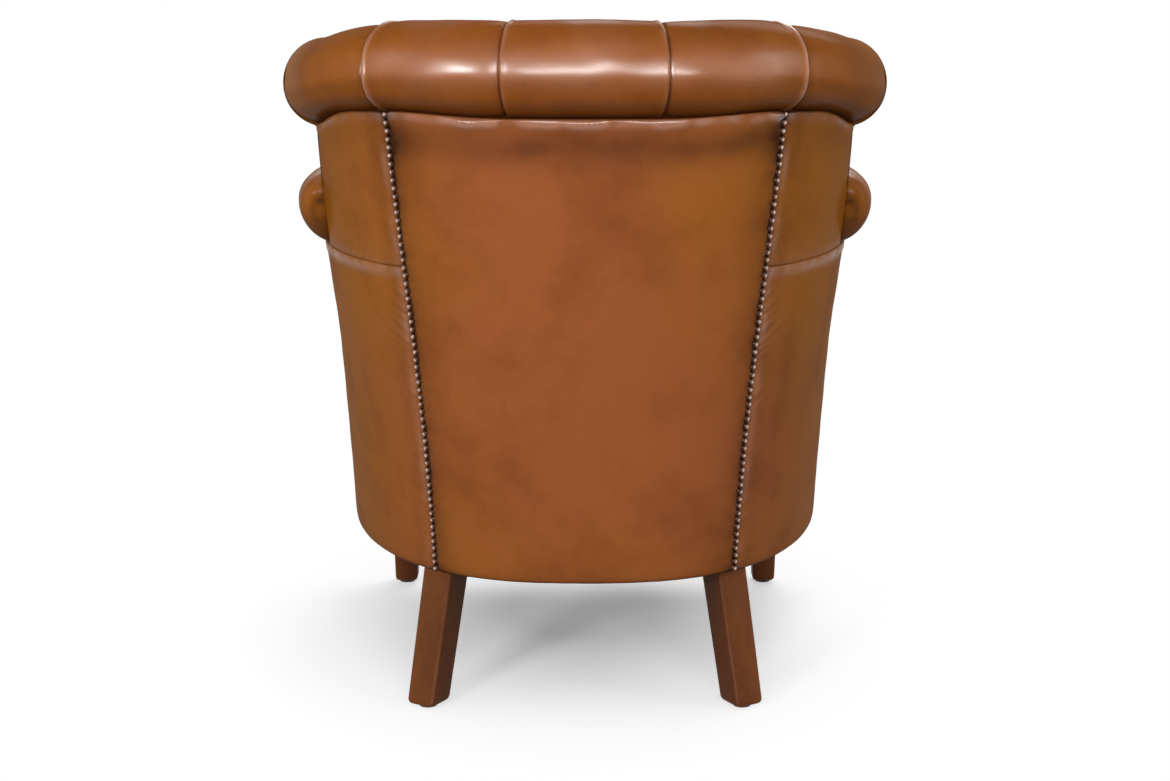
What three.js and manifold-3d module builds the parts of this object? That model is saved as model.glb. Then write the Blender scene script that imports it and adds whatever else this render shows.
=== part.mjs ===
// A tub-backed chesterfield armchair: hardwood frame, sprung seat, deep-buttoned padding,
// rolled top and arms, leather outside panels, nail trim and a loose seat cushion.
// Millimetres, +Z up, the front of the chair faces -Y, the sitter's left is +X.
import * as THREE from "three";
import { mergeVertices } from "three/addons/utils/BufferGeometryUtils.js";
import Module from "manifold-3d";

const wasm = await Module();
wasm.setup();

// Outside of the body, seen from above and from the side
const bodyBaseHeight = 175;
const creaseBelowRoll = 51;
const waistHalfWidth = 352;
const waistHeight = 340;
const shoulderHalfWidth = 379;
const shoulderHeight = 780;
const rearAtBase = 303;
const rearAtCrease = 439.5;
const bowAtBase = 565;
const bowAtCrease = 479;
const frontOfArms = 345;
const squarenessShare = 2.5;

// Shares of a quarter turn: 0 is the middle of the back, 1 the side, 2 the front
const wingStationShare = 0.6111;
const nailBaseStationShare = 0.24;
const nailTopStationShare = 0.3415;
const nailCurveShare = 1.28;
const stationGapShare = 0.001;
const bendColumnsShare = 0.75;

// Rolled top of the back
const rollRadius = 58;
const rollInset = 16;
const rollCentreHeight = 845;
const rollEndDrop = 24;
const rollDropStartShare = 0.3;
const rollCreaseAngle = 254;

// Rolled arms
const armRollRadius = 52;
const armRollInset = 22;
const armRollHeight = 650;
const armRollCreaseAngle = 245;
const armFrontDrop = 14;
const armEndRounding = 30;
const armEndShares = [0, 0.25, 0.6];
const armEndLeastShare = 0.3;

// Padding
const lumbarInset = 150;
const lumbarHeight = 480;
const armPadInset = 94;
const armPadHeight = 470;
const coverThickness = 3;
const panelThickness = 3.5;

// Clearance between pieces that touch
const seatGap = 0.5;
const rimGap = 0.8;
const padGap = 2;
const creaseGap = 1.8;

// Buttons and pleats of the back
const buttonRadius = 11;
const buttonSink = 0.6;
const buttonRim = 6.2;
const buttonCrown = 10.5;
const backLowRow = 530;
const topRowBelowRoll = 75;
const backPuff = 11;
const backButtonDip = 9;
const rollPleatDepth = 3;
const buttonReach = 17;
const puffLevelShare = 0.5;
const backEdgeShare = 0.8;
const backLowerShare = 1.6;
const backLowerFadeShare = 1.4;

// Buttons and pleats of the arms
const armLowRow = 500;
const armTopRowBelowRoll = 72;
const armPuff = 8;
const armButtonDip = 7;
const armPleatDepth = 2.5;
const armEdgeShare = 0.7;
const armLowerShare = 1.4;
const armLowerFadeShare = 1.2;

// Wooden seat frame and uprights
const railRecess = 3;
const railDepth = 84;
const frameInset = 4.5;
const frameThickness = 20;
const frontBoardThickness = 28;
const sideRailStartShare = 0.46;
const frontRailInset = 4;
const postHalfShare = 0.035;
const armPostLength = 46;
const crestDepth = 58;
const armRailDepth = 24;
const tackRailBottom = 400;
const tackRailHeight = 44;
const cornerBlockHeight = 52;
const rearBlockInner = 92;
const rearBlockStartShare = 0.15;
const rearBlockEndShare = 0.35;
const frontBlockSide = 92;
const frontBlockNose = 22;

// Legs
const rearLegTopWidth = 46;
const rearLegFootWidth = 42;
const frontLegTopWidth = 44;
const frontLegFootWidth = 35;
const legChamfer = 3;
const footChamfer = 5;
const rearLegStationShare = 0.243;
const rearLegInset = 36;
const rearLegRake = 75;
const rearLegSpread = 23;
const frontLegFromSide = 63;
const frontLegFromFront = 60;
const legOpeningGap = 1.5;
const studRadius = 4;
const studLength = 40;
const boreClearance = 0.5;
const glideRadius = 12;
const glideThickness = 3;
const legSeatGap = 0.5;

// Springs, webbing, deck and dust cover
const springWireRadius = 2;
const springHalfWidth = 21;
const springSpacing = 96;
const springFrontMargin = 14;
const springRearMargin = 14;
const webbingWidth = 50;
const webbingThickness = 1.6;
const webbingSpacing = 92;
const webbingLap = 32;
const deckThickness = 12;
const deckAboveRail = 28;
const dustThickness = 1;
const dustInset = 12;
const dustGap = 0.6;

// Loose seat cushion
const cushionSideThickness = 128;
const cushionCrown = 24;
const cushionSide = 6;
const cushionDrawnIn = 5;
const cushionFrontOverhang = 4;
const cushionCornerRadius = 26;
const cushionLeather = 2.5;
const crownShares = [0, 0.05, 0.18, 0.4, 0.7];

// Front facings and border
const facingThickness = 10;
const facingBevel = 2;
const facingFallShares = [0.5, 1];
const borderThickness = 9;
const wingFacingThickness = 8;

// Nail trim down the back
const nailDiameter = 9;
const nailHeight = 3.2;
const nailPitch = 10.3;
const nailNeckWidth = 3.4;
const nailNeckHeight = 1;

// Counts of buttons and springs
const backLatticeHalf = 5;
const backTopRow = 3;
const armLatticeCells = 8;
const armTopRow = 1;
const webbingCount = 3;
const springCount = 4;
const springWaves = 8;

// Counts of facets
const cellsPerButton = 2;
const lowerCells = 2;
const neckCells = 1;
const rollCells = 9;
const rollCoreBackCells = 3;
const buttonFacets = 6;
const backPanelColumns = 12;
const backPanelRows = 9;
const wingPanelColumns = 7;
const wingPanelRows = 4;
const armPanelColumns = 20;
const armPanelRows = 7;
const rearRailColumns = 22;
const sideRailColumns = 12;
const rearBlockColumns = 4;
const postColumns = 2;
const postRows = 6;
const crestColumns = 40;
const tackRailColumns = 16;
const armRailColumns = 12;
const webbingColumns = 4;
const webbingRows = 8;
const seatBendColumns = 22;
const springStepsPerWave = 6;
const wireCorners = 4;
const studFacets = 8;
const glideFacets = 12;
const facingRows = 6;
const notchCells = 6;

// Angles in degrees, and the quarter turn in radians
const armEndTurn = 70;
const rearLegTurn = 31;
const quarterTurn = Math.PI / 2;

// How near two corners are welded into one before solids are joined or cut
const weldDistance = 0.001;

// Heights that follow from the sizes above
const creaseHeight = rollCentreHeight - creaseBelowRoll;
const railBottom = bodyBaseHeight + railRecess;
const railTop = railBottom + railDepth;
const deckTop = railTop + deckAboveRail;
const dustBottom = railBottom - dustGap - dustThickness;
const borderTop = deckTop - rimGap;
const backRowPitch = (rollCentreHeight - topRowBelowRoll - backLowRow) / backTopRow;
const armRowPitch = (armRollHeight - armTopRowBelowRoll - armLowRow) / armTopRow;

// Place of the front legs, seen from above
const frontLegX = waistHalfWidth - frontLegFromSide;
const frontLegY = frontOfArms - frontLegFromFront;

const leather = { color: 0x8a4b22, roughness: 0.38, metalness: 0 };
const finishes = {
  leather: new THREE.MeshStandardMaterial(leather),
  hide: new THREE.MeshStandardMaterial({ ...leather, color: 0x7d4520 }),
  wood: new THREE.MeshStandardMaterial({ color: 0x5a2f1b, roughness: 0.42, metalness: 0 }),
  beech: new THREE.MeshStandardMaterial({ color: 0xc79f6c, roughness: 0.7, metalness: 0 }),
  foam: new THREE.MeshStandardMaterial({ color: 0xe8dcb8, roughness: 0.95, metalness: 0 }),
  cloth: new THREE.MeshStandardMaterial({ color: 0x1c1b1a, roughness: 0.95, metalness: 0 }),
  webbing: new THREE.MeshStandardMaterial({ color: 0x2d2a28, roughness: 0.9, metalness: 0 }),
  steel: new THREE.MeshStandardMaterial({ color: 0x8d8f92, roughness: 0.35, metalness: 1 }),
  brass: new THREE.MeshStandardMaterial({ color: 0x8c6f4c, roughness: 0.35, metalness: 1 }),
  nylon: new THREE.MeshStandardMaterial({ color: 0x22201f, roughness: 0.5, metalness: 0 }),
};

// How deep the webbing and the padding in front of it lie behind the outside
const webbingInset = frameInset + frameThickness + seatGap;
const paddingBack = webbingInset + webbingThickness + padGap;

// Sums on shares
const mix = (from, to, share) => from + (to - from) * share;
const held = (share) => Math.min(1, Math.max(0, share));
const ease = (share) => held(share) ** 2 * (3 - 2 * held(share));
const radians = THREE.MathUtils.degToRad;
const up = new THREE.Vector3(0, 1, 0);

// Half-width, rear and bow of the outside at a height
function outlineAt(height) {
  const level = Math.min(height, creaseHeight);
  const rise = (level - bodyBaseHeight) / (creaseHeight - bodyBaseHeight);
  const flare = ease((level - waistHeight) / (shoulderHeight - waistHeight));
  return {
    half: mix(waistHalfWidth, shoulderHalfWidth, flare),
    rear: mix(rearAtBase, rearAtCrease, rise),
    bow: mix(bowAtBase, bowAtCrease, rise),
  };
}

// A point of the tub at a station and height, so far inside the outside surface
function wallPoint(station, height, inset) {
  const { half, rear, bow } = outlineAt(height);
  const turn = Math.min(Math.abs(station), 1) * quarterTurn;
  const across = Math.sin(turn) / (half - inset);
  const along = Math.cos(turn) / (bow - inset);
  const reach = (across ** squarenessShare + along ** squarenessShare) ** (-1 / squarenessShare);
  const side = station < 0 ? -1 : 1;
  const forward = Math.max(Math.abs(station) - 1, 0);
  const y = rear - bow + reach * Math.cos(turn);
  return new THREE.Vector3(
    side * reach * Math.sin(turn),
    forward > 0 ? mix(rear - bow, -frontOfArms, forward) : y,
    height,
  );
}

// A station part of the way along a piece, with more of them round the bend than on the straight
function stationAt(from, to, share) {
  if (to <= 1) {
    return mix(from, to, share);
  }
  const straight = (share - bendColumnsShare) / (1 - bendColumnsShare);
  return straight < 0 ? mix(from, 1, share / bendColumnsShare) : mix(1, to, straight);
}

// A length along the wall as a step in station, at the sides and in the middle of the back
const stationStep = (length) => length / (waistHalfWidth * quarterTurn);
const rearStationStep = (length) => length / (bowAtCrease * quarterTurn);

// Station of the front part of the wall at a distance behind the arm fronts
function stationBehindFront(distance, height) {
  const { rear, bow } = outlineAt(height);
  return 2 - distance / (rear - bow + frontOfArms);
}

// The line where the nails run, as a station for each height
function nailStation(height) {
  const rise = held((height - bodyBaseHeight) / (creaseHeight - bodyBaseHeight));
  return mix(nailBaseStationShare, nailTopStationShare, rise ** nailCurveShare);
}

// How far the top roll has come down at a station
function rollDrop(station) {
  const toWing = (Math.abs(station) - rollDropStartShare) / (wingStationShare - rollDropStartShare);
  return rollEndDrop * ease(toWing);
}

// How far the arm roll has come down at a station
function armDrop(station) {
  return armFrontDrop * held((Math.abs(station) - wingStationShare) / (2 - wingStationShare));
}

const rollCrease = (station) =>
  rollCentreHeight - rollDrop(station) - Math.sqrt(rollRadius ** 2 - rollInset ** 2);
const armCrease = (station) =>
  armRollHeight - armDrop(station) - Math.sqrt(armRollRadius ** 2 - armRollInset ** 2);

// Depth of the padding of an arm, before its buttons
function armInset(station, height) {
  const centre = armRollHeight - armDrop(station);
  const share = ease((centre - height) / (centre - armPadHeight));
  return mix(armRollInset + armRollRadius, armPadInset, share);
}

// Depth of the padding at the end of a wing, flush with the arm's up to the arm roll
function wingInset(height) {
  const centre = rollCentreHeight - rollEndDrop;
  const share = ease((height - armRollHeight) / (centre - armRollHeight));
  return mix(armInset(wingStationShare, height), rollInset + rollRadius, share);
}

// Depth of the padding of the back, before its buttons
function backInset(station, height) {
  const centre = rollCentreHeight - rollDrop(station);
  const share = ease((centre - height) / (centre - lumbarHeight));
  const toWing = ease(Math.abs(station) / wingStationShare);
  return mix(mix(rollInset + rollRadius, lumbarInset, share), wingInset(height), toWing);
}

// Solids from grids, rings and outlines
function facingOut(positions, faces) {
  const at = (i) => new THREE.Vector3().fromArray(positions, i * 3);
  let volume = 0;
  for (let i = 0; i < faces.length; i += 3) {
    const [a, b, c] = [at(faces[i]), at(faces[i + 1]), at(faces[i + 2])];
    volume += a.dot(b.cross(c));
  }
  if (volume < 0) {
    for (let i = 0; i < faces.length; i += 3) {
      [faces[i + 1], faces[i + 2]] = [faces[i + 2], faces[i + 1]];
    }
  }
  const geometry = new THREE.BufferGeometry();
  geometry.setAttribute("position", new THREE.Float32BufferAttribute(positions, 3));
  geometry.setIndex(faces);
  geometry.computeVertexNormals();
  return geometry;
}

// Turns the diagonal of every other cell, as the pleats of a diamond pattern run
const quilted = (i, j) => (i + j) % 2 === 1;

// A closed block between two faces on one grid: point(i, j, 0) outside and point(i, j, 1) inside
function block(columns, rows, point, slanted = () => false) {
  const positions = [];
  const faces = [];
  for (let layer = 0; layer < 2; layer += 1) {
    for (let i = 0; i <= columns; i += 1) {
      for (let j = 0; j <= rows; j += 1) {
        positions.push(...point(i, j, layer).toArray());
      }
    }
  }
  const id = (i, j, layer) => (layer * (columns + 1) + i) * (rows + 1) + j;
  const quad = (a, b, c, d) => faces.push(a, b, c, a, c, d);
  for (let i = 0; i < columns; i += 1) {
    for (let j = 0; j < rows; j += 1) {
      const outer = [id(i, j, 0), id(i + 1, j, 0), id(i + 1, j + 1, 0), id(i, j + 1, 0)];
      const inner = [id(i, j, 1), id(i, j + 1, 1), id(i + 1, j + 1, 1), id(i + 1, j, 1)];
      if (slanted(i, j)) {
        quad(outer[1], outer[2], outer[3], outer[0]);
        quad(inner[1], inner[2], inner[3], inner[0]);
      } else {
        quad(...outer);
        quad(...inner);
      }
    }
  }
  for (let i = 0; i < columns; i += 1) {
    quad(id(i, 0, 0), id(i, 0, 1), id(i + 1, 0, 1), id(i + 1, 0, 0));
    quad(id(i, rows, 0), id(i + 1, rows, 0), id(i + 1, rows, 1), id(i, rows, 1));
  }
  for (let j = 0; j < rows; j += 1) {
    quad(id(0, j, 0), id(0, j + 1, 0), id(0, j + 1, 1), id(0, j, 1));
    quad(id(columns, j, 0), id(columns, j, 1), id(columns, j + 1, 1), id(columns, j + 1, 0));
  }
  return facingOut(positions, faces);
}

// A solid through rings of equal count; its ends are closed along flat, a 2-D copy of the ring
function loft(rings, flat) {
  const count = rings[0].length;
  const positions = rings.flatMap((ring) => ring.flatMap((p) => p.toArray()));
  const faces = [];
  for (let k = 0; k + 1 < rings.length; k += 1) {
    for (let i = 0; i < count; i += 1) {
      const next = (i + 1) % count;
      const [a, b, c, d] = [k * count + i, k * count + next, (k + 1) * count + next, (k + 1) * count + i];
      faces.push(a, b, c, a, c, d);
    }
  }
  const last = (rings.length - 1) * count;
  const turned = THREE.ShapeUtils.isClockWise(flat);
  for (const [a, b, c] of THREE.ShapeUtils.triangulateShape(flat, [])) {
    const [first, second] = turned ? [b, c] : [c, b];
    faces.push(a, first, second, last + a, last + second, last + first);
  }
  return facingOut(positions, faces);
}

// A part of the wall between stations, heights and insets, any of them a function of the others
function wallBlock({ from, to, bottom, top, outer, inner, columns, rows }) {
  const value = (given, ...at) => (typeof given === "function" ? given(...at) : given);
  return block(columns, rows, (i, j, layer) => {
    const stationOf = (level) => stationAt(value(from, level), value(to, level), i / columns);
    const heightOf = (place) => mix(value(bottom, place), value(top, place), j / rows);
    const height = heightOf(stationOf(heightOf(stationOf(creaseHeight))));
    const station = stationOf(height);
    return wallPoint(station, height, value(layer ? inner : outer, station, height));
  });
}

// A flat outline drawn across the chair and pushed towards the front from y
function frontPlate(points, y, thickness, bevel = 0) {
  const geometry = new THREE.ExtrudeGeometry(new THREE.Shape(points), {
    depth: thickness - 2 * bevel,
    bevelEnabled: bevel > 0,
    bevelThickness: bevel,
    bevelSize: bevel,
    bevelOffset: -bevel,
    bevelSegments: 1,
    curveSegments: 1,
  });
  geometry.rotateX(quarterTurn);
  geometry.translate(0, y - bevel, 0);
  return geometry;
}

// A flat outline seen from above and raised from a height
function levelPlate(points, bottom, thickness) {
  const geometry = new THREE.ExtrudeGeometry(new THREE.Shape(points), {
    depth: thickness,
    bevelEnabled: false,
    curveSegments: 1,
  });
  geometry.translate(0, 0, bottom);
  return geometry;
}

// Boolean joins and cuts
function solidOf(geometry) {
  const bare = geometry.index ? geometry.toNonIndexed() : geometry.clone();
  bare.deleteAttribute("normal");
  bare.deleteAttribute("uv");
  const merged = mergeVertices(bare, weldDistance);
  return new wasm.Manifold(
    new wasm.Mesh({
      numProp: 3,
      vertProperties: merged.getAttribute("position").array,
      triVerts: new Uint32Array(merged.index.array),
    }),
  );
}

function geometryOf(solid) {
  const mesh = solid.getMesh();
  const geometry = new THREE.BufferGeometry();
  geometry.setAttribute("position", new THREE.BufferAttribute(mesh.vertProperties, 3));
  geometry.setIndex(new THREE.BufferAttribute(mesh.triVerts, 1));
  geometry.computeVertexNormals();
  return geometry;
}

const cut = (geometry, ...tools) =>
  geometryOf(tools.reduce((solid, tool) => solid.subtract(solidOf(tool)), solidOf(geometry)));
const join = (geometry, ...more) =>
  geometryOf(more.reduce((solid, piece) => solid.add(solidOf(piece)), solidOf(geometry)));

// The chair, and the way a piece is added to it
const assembly = new THREE.Group();
const cushionGroup = new THREE.Group();

function add(name, geometry, finish, group = assembly) {
  const mesh = new THREE.Mesh(geometry, finish);
  mesh.name = name;
  group.add(mesh);
  return mesh;
}

const sides = [
  { word: "left", sign: 1 },
  { word: "right", sign: -1 },
];

// A copy of a geometry for the other side of the chair
function mirrored(geometry) {
  const copy = geometry.index ? geometry.toNonIndexed() : geometry.clone();
  const position = copy.getAttribute("position");
  for (let i = 0; i < position.count; i += 3) {
    for (const corner of [0, 1, 2]) {
      position.setX(i + corner, -position.getX(i + corner));
    }
    const second = new THREE.Vector3().fromBufferAttribute(position, i + 1);
    const third = new THREE.Vector3().fromBufferAttribute(position, i + 2);
    position.setXYZ(i + 1, third.x, third.y, third.z);
    position.setXYZ(i + 2, second.x, second.y, second.z);
  }
  copy.computeVertexNormals();
  return copy;
}

function addPair(name, makeLeft, finish) {
  const geometry = makeLeft();
  for (const { word, sign } of sides) {
    add(`${name}_${word}`, sign > 0 ? geometry : mirrored(geometry), finish);
  }
}

// Puff between buttons on a lattice, 1 in the middle of a diamond and 0 along the pleats
function diamond(column, row) {
  const slant = Math.abs(Math.sin((Math.PI * (column + row)) / 2));
  const other = Math.abs(Math.sin((Math.PI * (column - row)) / 2));
  return Math.sqrt(slant * other);
}

// 1 at a button and 0 a little way off
function buttonShare(column, row, columnPitch, rowPitch) {
  const nearRow = Math.round(row);
  const nearColumn = 2 * Math.round((column - (nearRow % 2)) / 2) + (nearRow % 2);
  const away = Math.hypot((column - nearColumn) * columnPitch, (row - nearRow) * rowPitch);
  return Math.exp(-((away / buttonReach) ** 2));
}

// Buttoned back, from behind the cushion up over the top roll to the crease
const backColumnShare = wingStationShare / backLatticeHalf;
const backColumns = 2 * backLatticeHalf * cellsPerButton;
const backColumnPitch = backColumnShare * quarterTurn * (waistHalfWidth - lumbarInset);
const backBottom = deckTop - deckThickness + rimGap;
const diamondCells = backTopRow * cellsPerButton;
const backRows = lowerCells + diamondCells + neckCells + rollCells;

// How far the back's surface stands off its plain form at a station and lattice row
function backPuffAt(station, row) {
  const column = station / backColumnShare;
  const edge = ease((backLatticeHalf - Math.abs(column)) / backEdgeShare);
  if (row < 0) {
    const pleats = Math.sqrt(Math.abs(Math.sin((Math.PI * column) / 2)));
    return backPuff * edge * (1 - ease(-row / backLowerFadeShare)) * (pleats - puffLevelShare);
  }
  if (row > backTopRow) {
    const pleats = Math.sqrt(Math.abs(Math.cos((Math.PI * column) / 2)));
    const fade = ease(row - backTopRow);
    const dip = backButtonDip * buttonShare(column, row, backColumnPitch, backRowPitch) * (1 - fade);
    const level = mix(puffLevelShare, 1, fade);
    return edge * (mix(backPuff, rollPleatDepth, fade) * (pleats - level) - dip);
  }
  const dip = backButtonDip * buttonShare(column, row, backColumnPitch, backRowPitch);
  return edge * (backPuff * (diamond(column, row) - puffLevelShare) - dip);
}

// A point of the back's surface at a grid row, so deep under the leather
function backPoint(station, gridRow, depth) {
  const centre = rollCentreHeight - rollDrop(station);
  const topButton = backLowRow + backTopRow * backRowPitch;
  if (gridRow <= lowerCells + diamondCells + neckCells) {
    const above = gridRow - lowerCells;
    const lattice = above < 0 ? (above / lowerCells) * backLowerShare : above / cellsPerButton;
    let height = backLowRow + lattice * backRowPitch;
    let row = lattice;
    if (above < 0) {
      height = mix(backLowRow, backBottom, -above / lowerCells);
    }
    if (above > diamondCells) {
      const share = (above - diamondCells) / neckCells;
      height = mix(topButton, centre, share);
      row = backTopRow + share;
    }
    const inset = backInset(station, height) + backPuffAt(station, row) - depth;
    return wallPoint(station, height, inset);
  }
  const share = (gridRow - lowerCells - diamondCells - neckCells) / rollCells;
  const angle = radians(rollCreaseAngle * share);
  const radius = rollRadius + backPuffAt(station, backTopRow + 1) - depth;
  return wallPoint(
    station,
    centre + radius * Math.sin(angle),
    rollInset + radius * Math.cos(angle),
  );
}

// A covered button, its underside a cone that fills the dimple
function button(at, outward) {
  const profile = [
    new THREE.Vector2(0, -buttonSink),
    new THREE.Vector2(buttonRadius, buttonRim),
    new THREE.Vector2(0, buttonCrown),
  ];
  const geometry = new THREE.LatheGeometry(profile, buttonFacets);
  geometry.applyQuaternion(new THREE.Quaternion().setFromUnitVectors(up, outward));
  geometry.translate(at.x, at.y, at.z);
  return geometry;
}

function backButtons() {
  const found = [];
  for (let row = 0; row <= backTopRow; row += 1) {
    for (let column = 1 - backLatticeHalf; column < backLatticeHalf; column += 1) {
      if ((row + column) % 2 === 0) {
        const station = column * backColumnShare;
        const gridRow = lowerCells + row * cellsPerButton;
        const at = backPoint(station, gridRow, 0);
        const behind = wallPoint(station, at.z, 0);
        found.push(button(at, at.clone().sub(behind).normalize()));
      }
    }
  }
  return found;
}

function insideBackCover() {
  const skin = block(
    backColumns,
    backRows,
    (i, j, layer) => {
      const station = mix(-wingStationShare, wingStationShare, i / backColumns);
      return backPoint(station, j, layer * coverThickness);
    },
    quilted,
  );
  return join(skin, ...backButtons());
}

function backFoam() {
  const rows = lowerCells + diamondCells;
  const foamTop = rollCentreHeight - rollRadius - rimGap;
  const point = (i, j, layer) => {
    const station = mix(-wingStationShare, wingStationShare, i / backColumns);
    const face = backPoint(station, j, coverThickness + padGap);
    if (layer === 0 && j < rows) {
      return face;
    }
    const height = Math.min(face.z, foamTop - rollDrop(station));
    const inset = layer ? paddingBack : backInset(station, height) - backPuff - backButtonDip;
    return wallPoint(station, height, inset);
  };
  return block(backColumns, rows, point, quilted);
}

// A bar along the wall under a rolled cover, its front facets in line with those of the cover
function rollCore({ stations, inset, height, radius, creaseAngle }) {
  const angles = [];
  for (let k = 0; k <= rollCells; k += 1) {
    angles.push(radians((creaseAngle * k) / rollCells));
  }
  for (let k = 1; k < rollCoreBackCells; k += 1) {
    angles.push(mix(radians(creaseAngle), 4 * quarterTurn, k / rollCoreBackCells));
  }
  const rings = stations.map((station) =>
    angles.map((angle) =>
      wallPoint(
        station,
        height(station) + radius(station, angle) * Math.sin(angle),
        inset + radius(station, angle) * Math.cos(angle),
      ),
    ),
  );
  return loft(rings, angles.map((angle) => new THREE.Vector2(Math.cos(angle), Math.sin(angle))));
}

const rollCoreRadius = rollRadius - rollPleatDepth - coverThickness - rimGap;

// Buttoned arm, from the deck up over the arm roll to the crease
const armStart = wingStationShare + stationGapShare;
const armGridCells = armLatticeCells * cellsPerButton;
const armDiamondCells = armTopRow * cellsPerButton;
const armRows = lowerCells + armDiamondCells + neckCells + rollCells;
const armColumnPitch = ((2 - armStart) * quarterTurn * waistHalfWidth) / armLatticeCells / 2;

// Stations of the columns of an arm, with two more where its roll is rounded off at the wing
function armStations() {
  const stations = armEndShares.map((share) => armStart + stationStep(armEndRounding) * share);
  for (let i = 1; i <= armGridCells; i += 1) {
    stations.push(mix(armStart, 2, i / armGridCells));
  }
  return stations;
}

// Share of the arm roll's radius that is left at a station near the wing
function armRollShare(station, angle) {
  const along = held((station - armStart) / stationStep(armEndRounding));
  const dome = Math.max(armEndLeastShare, Math.sqrt(1 - (1 - along) ** 2));
  return mix(1, dome, ease(angle / radians(armEndTurn)));
}

function armPuffAt(station, row) {
  const column = ((station - armStart) / (2 - armStart)) * armLatticeCells;
  const edge = ease(Math.min(column, armLatticeCells - column) / armEdgeShare);
  if (row < 0) {
    const pleats = Math.sqrt(Math.abs(Math.sin((Math.PI * column) / 2)));
    return armPuff * edge * (1 - ease(-row / armLowerFadeShare)) * (pleats - puffLevelShare);
  }
  if (row > armTopRow) {
    const pleats = Math.sqrt(Math.abs(Math.cos((Math.PI * column) / 2)));
    const fade = ease(row - armTopRow);
    const dip = armButtonDip * buttonShare(column, row, armColumnPitch, armRowPitch) * (1 - fade);
    const level = mix(puffLevelShare, 1, fade);
    return edge * (mix(armPuff, armPleatDepth, fade) * (pleats - level) - dip);
  }
  const dip = armButtonDip * buttonShare(column, row, armColumnPitch, armRowPitch);
  return edge * (armPuff * (diamond(column, row) - puffLevelShare) - dip);
}

function armPoint(station, gridRow, depth) {
  const centre = armRollHeight - armDrop(station);
  const above = gridRow - lowerCells;
  if (gridRow <= lowerCells + armDiamondCells + neckCells) {
    let row = above / cellsPerButton;
    let height = armLowRow + row * armRowPitch;
    if (above < 0) {
      height = mix(armLowRow, backBottom, -above / lowerCells);
      row = (above / lowerCells) * armLowerShare;
    }
    if (above > armDiamondCells) {
      const share = (above - armDiamondCells) / neckCells;
      height = mix(armLowRow + armTopRow * armRowPitch, centre, share);
      row = armTopRow + share;
    }
    return wallPoint(station, height, armInset(station, height) + armPuffAt(station, row) - depth);
  }
  const share = (gridRow - lowerCells - armDiamondCells - neckCells) / rollCells;
  const angle = radians(armRollCreaseAngle * share);
  const puffed = armRollRadius + armPuffAt(station, armTopRow + 1);
  const radius = puffed * armRollShare(station, angle) - depth;
  return wallPoint(
    station,
    centre + radius * Math.sin(angle),
    armRollInset + radius * Math.cos(angle),
  );
}

function armButtons() {
  const found = [];
  for (let row = 0; row <= armTopRow; row += 1) {
    for (let column = 1; column < armLatticeCells; column += 1) {
      if ((row + column) % 2 === 0) {
        const station = mix(armStart, 2, column / armLatticeCells);
        const at = armPoint(station, lowerCells + row * cellsPerButton, 0);
        const behind = wallPoint(station, at.z, 0);
        found.push(button(at, at.clone().sub(behind).normalize()));
      }
    }
  }
  return found;
}

function armCover() {
  const stations = armStations();
  const point = (i, j, layer) => armPoint(stations[i], j, layer * coverThickness);
  return join(block(stations.length - 1, armRows, point, quilted), ...armButtons());
}

function armFoam() {
  const stations = armStations();
  const point = (i, j, layer) => {
    const face = armPoint(stations[i], j, coverThickness + padGap);
    const height = j === 0 ? railTop + seatGap : face.z;
    const inset = armInset(stations[i], height) - armPuff - coverThickness - rimGap;
    return layer || j === 0 ? wallPoint(stations[i], height, layer ? paddingBack : inset) : face;
  };
  return block(stations.length - 1, lowerCells + armDiamondCells, point, quilted);
}

const armCoreRadius = armRollRadius - armPleatDepth - coverThickness - rimGap;

function topRollCore() {
  const stations = [];
  const end = wingStationShare - 2 * stationGapShare;
  for (let i = 0; i <= backColumns; i += 1) {
    stations.push(mix(-end, end, i / backColumns));
  }
  return rollCore({
    stations,
    inset: rollInset,
    height: (station) => rollCentreHeight - rollDrop(station),
    radius: () => rollCoreRadius,
    creaseAngle: rollCreaseAngle,
  });
}

function armRollCore() {
  const full = armRollRadius - armPleatDepth;
  return rollCore({
    stations: armStations().slice(armEndShares.length - 1),
    inset: armRollInset,
    height: (station) => armRollHeight - armDrop(station),
    radius: (station, angle) => full * armRollShare(station, angle) - coverThickness - rimGap,
    creaseAngle: armRollCreaseAngle,
  });
}

function makePadding() {
  add("inside_back_cover", insideBackCover(), finishes.leather);
  add("back_foam", backFoam(), finishes.foam);
  add("top_roll_core", topRollCore(), finishes.foam);
  addPair("inside_arm_cover", armCover, finishes.leather);
  addPair("arm_foam", armFoam, finishes.foam);
  addPair("arm_roll_core", armRollCore, finishes.foam);
}

// Leather panels outside the frame
function makeOutsidePanels() {
  const panel = { outer: 0, inner: panelThickness };
  const back = wallBlock({
    ...panel,
    from: (height) => -nailStation(height),
    to: nailStation,
    bottom: bodyBaseHeight,
    top: (station) => rollCrease(station) - creaseGap,
    columns: backPanelColumns,
    rows: backPanelRows,
  });
  add("outside_back_panel", back, finishes.hide);
  const wing = () =>
    wallBlock({
      ...panel,
      from: (height) => nailStation(height) + stationGapShare,
      to: wingStationShare,
      bottom: armCrease(wingStationShare) + rimGap,
      top: (station) => rollCrease(station) - creaseGap,
      columns: wingPanelColumns,
      rows: wingPanelRows,
    });
  addPair("outside_wing_panel", wing, finishes.hide);
  const arm = () =>
    wallBlock({
      ...panel,
      from: (height) => nailStation(height) + stationGapShare,
      to: 2,
      bottom: bodyBaseHeight,
      top: (station) => armCrease(station) - creaseGap,
      columns: armPanelColumns,
      rows: armPanelRows,
    });
  addPair("outside_arm_panel", arm, finishes.hide);
}

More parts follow.
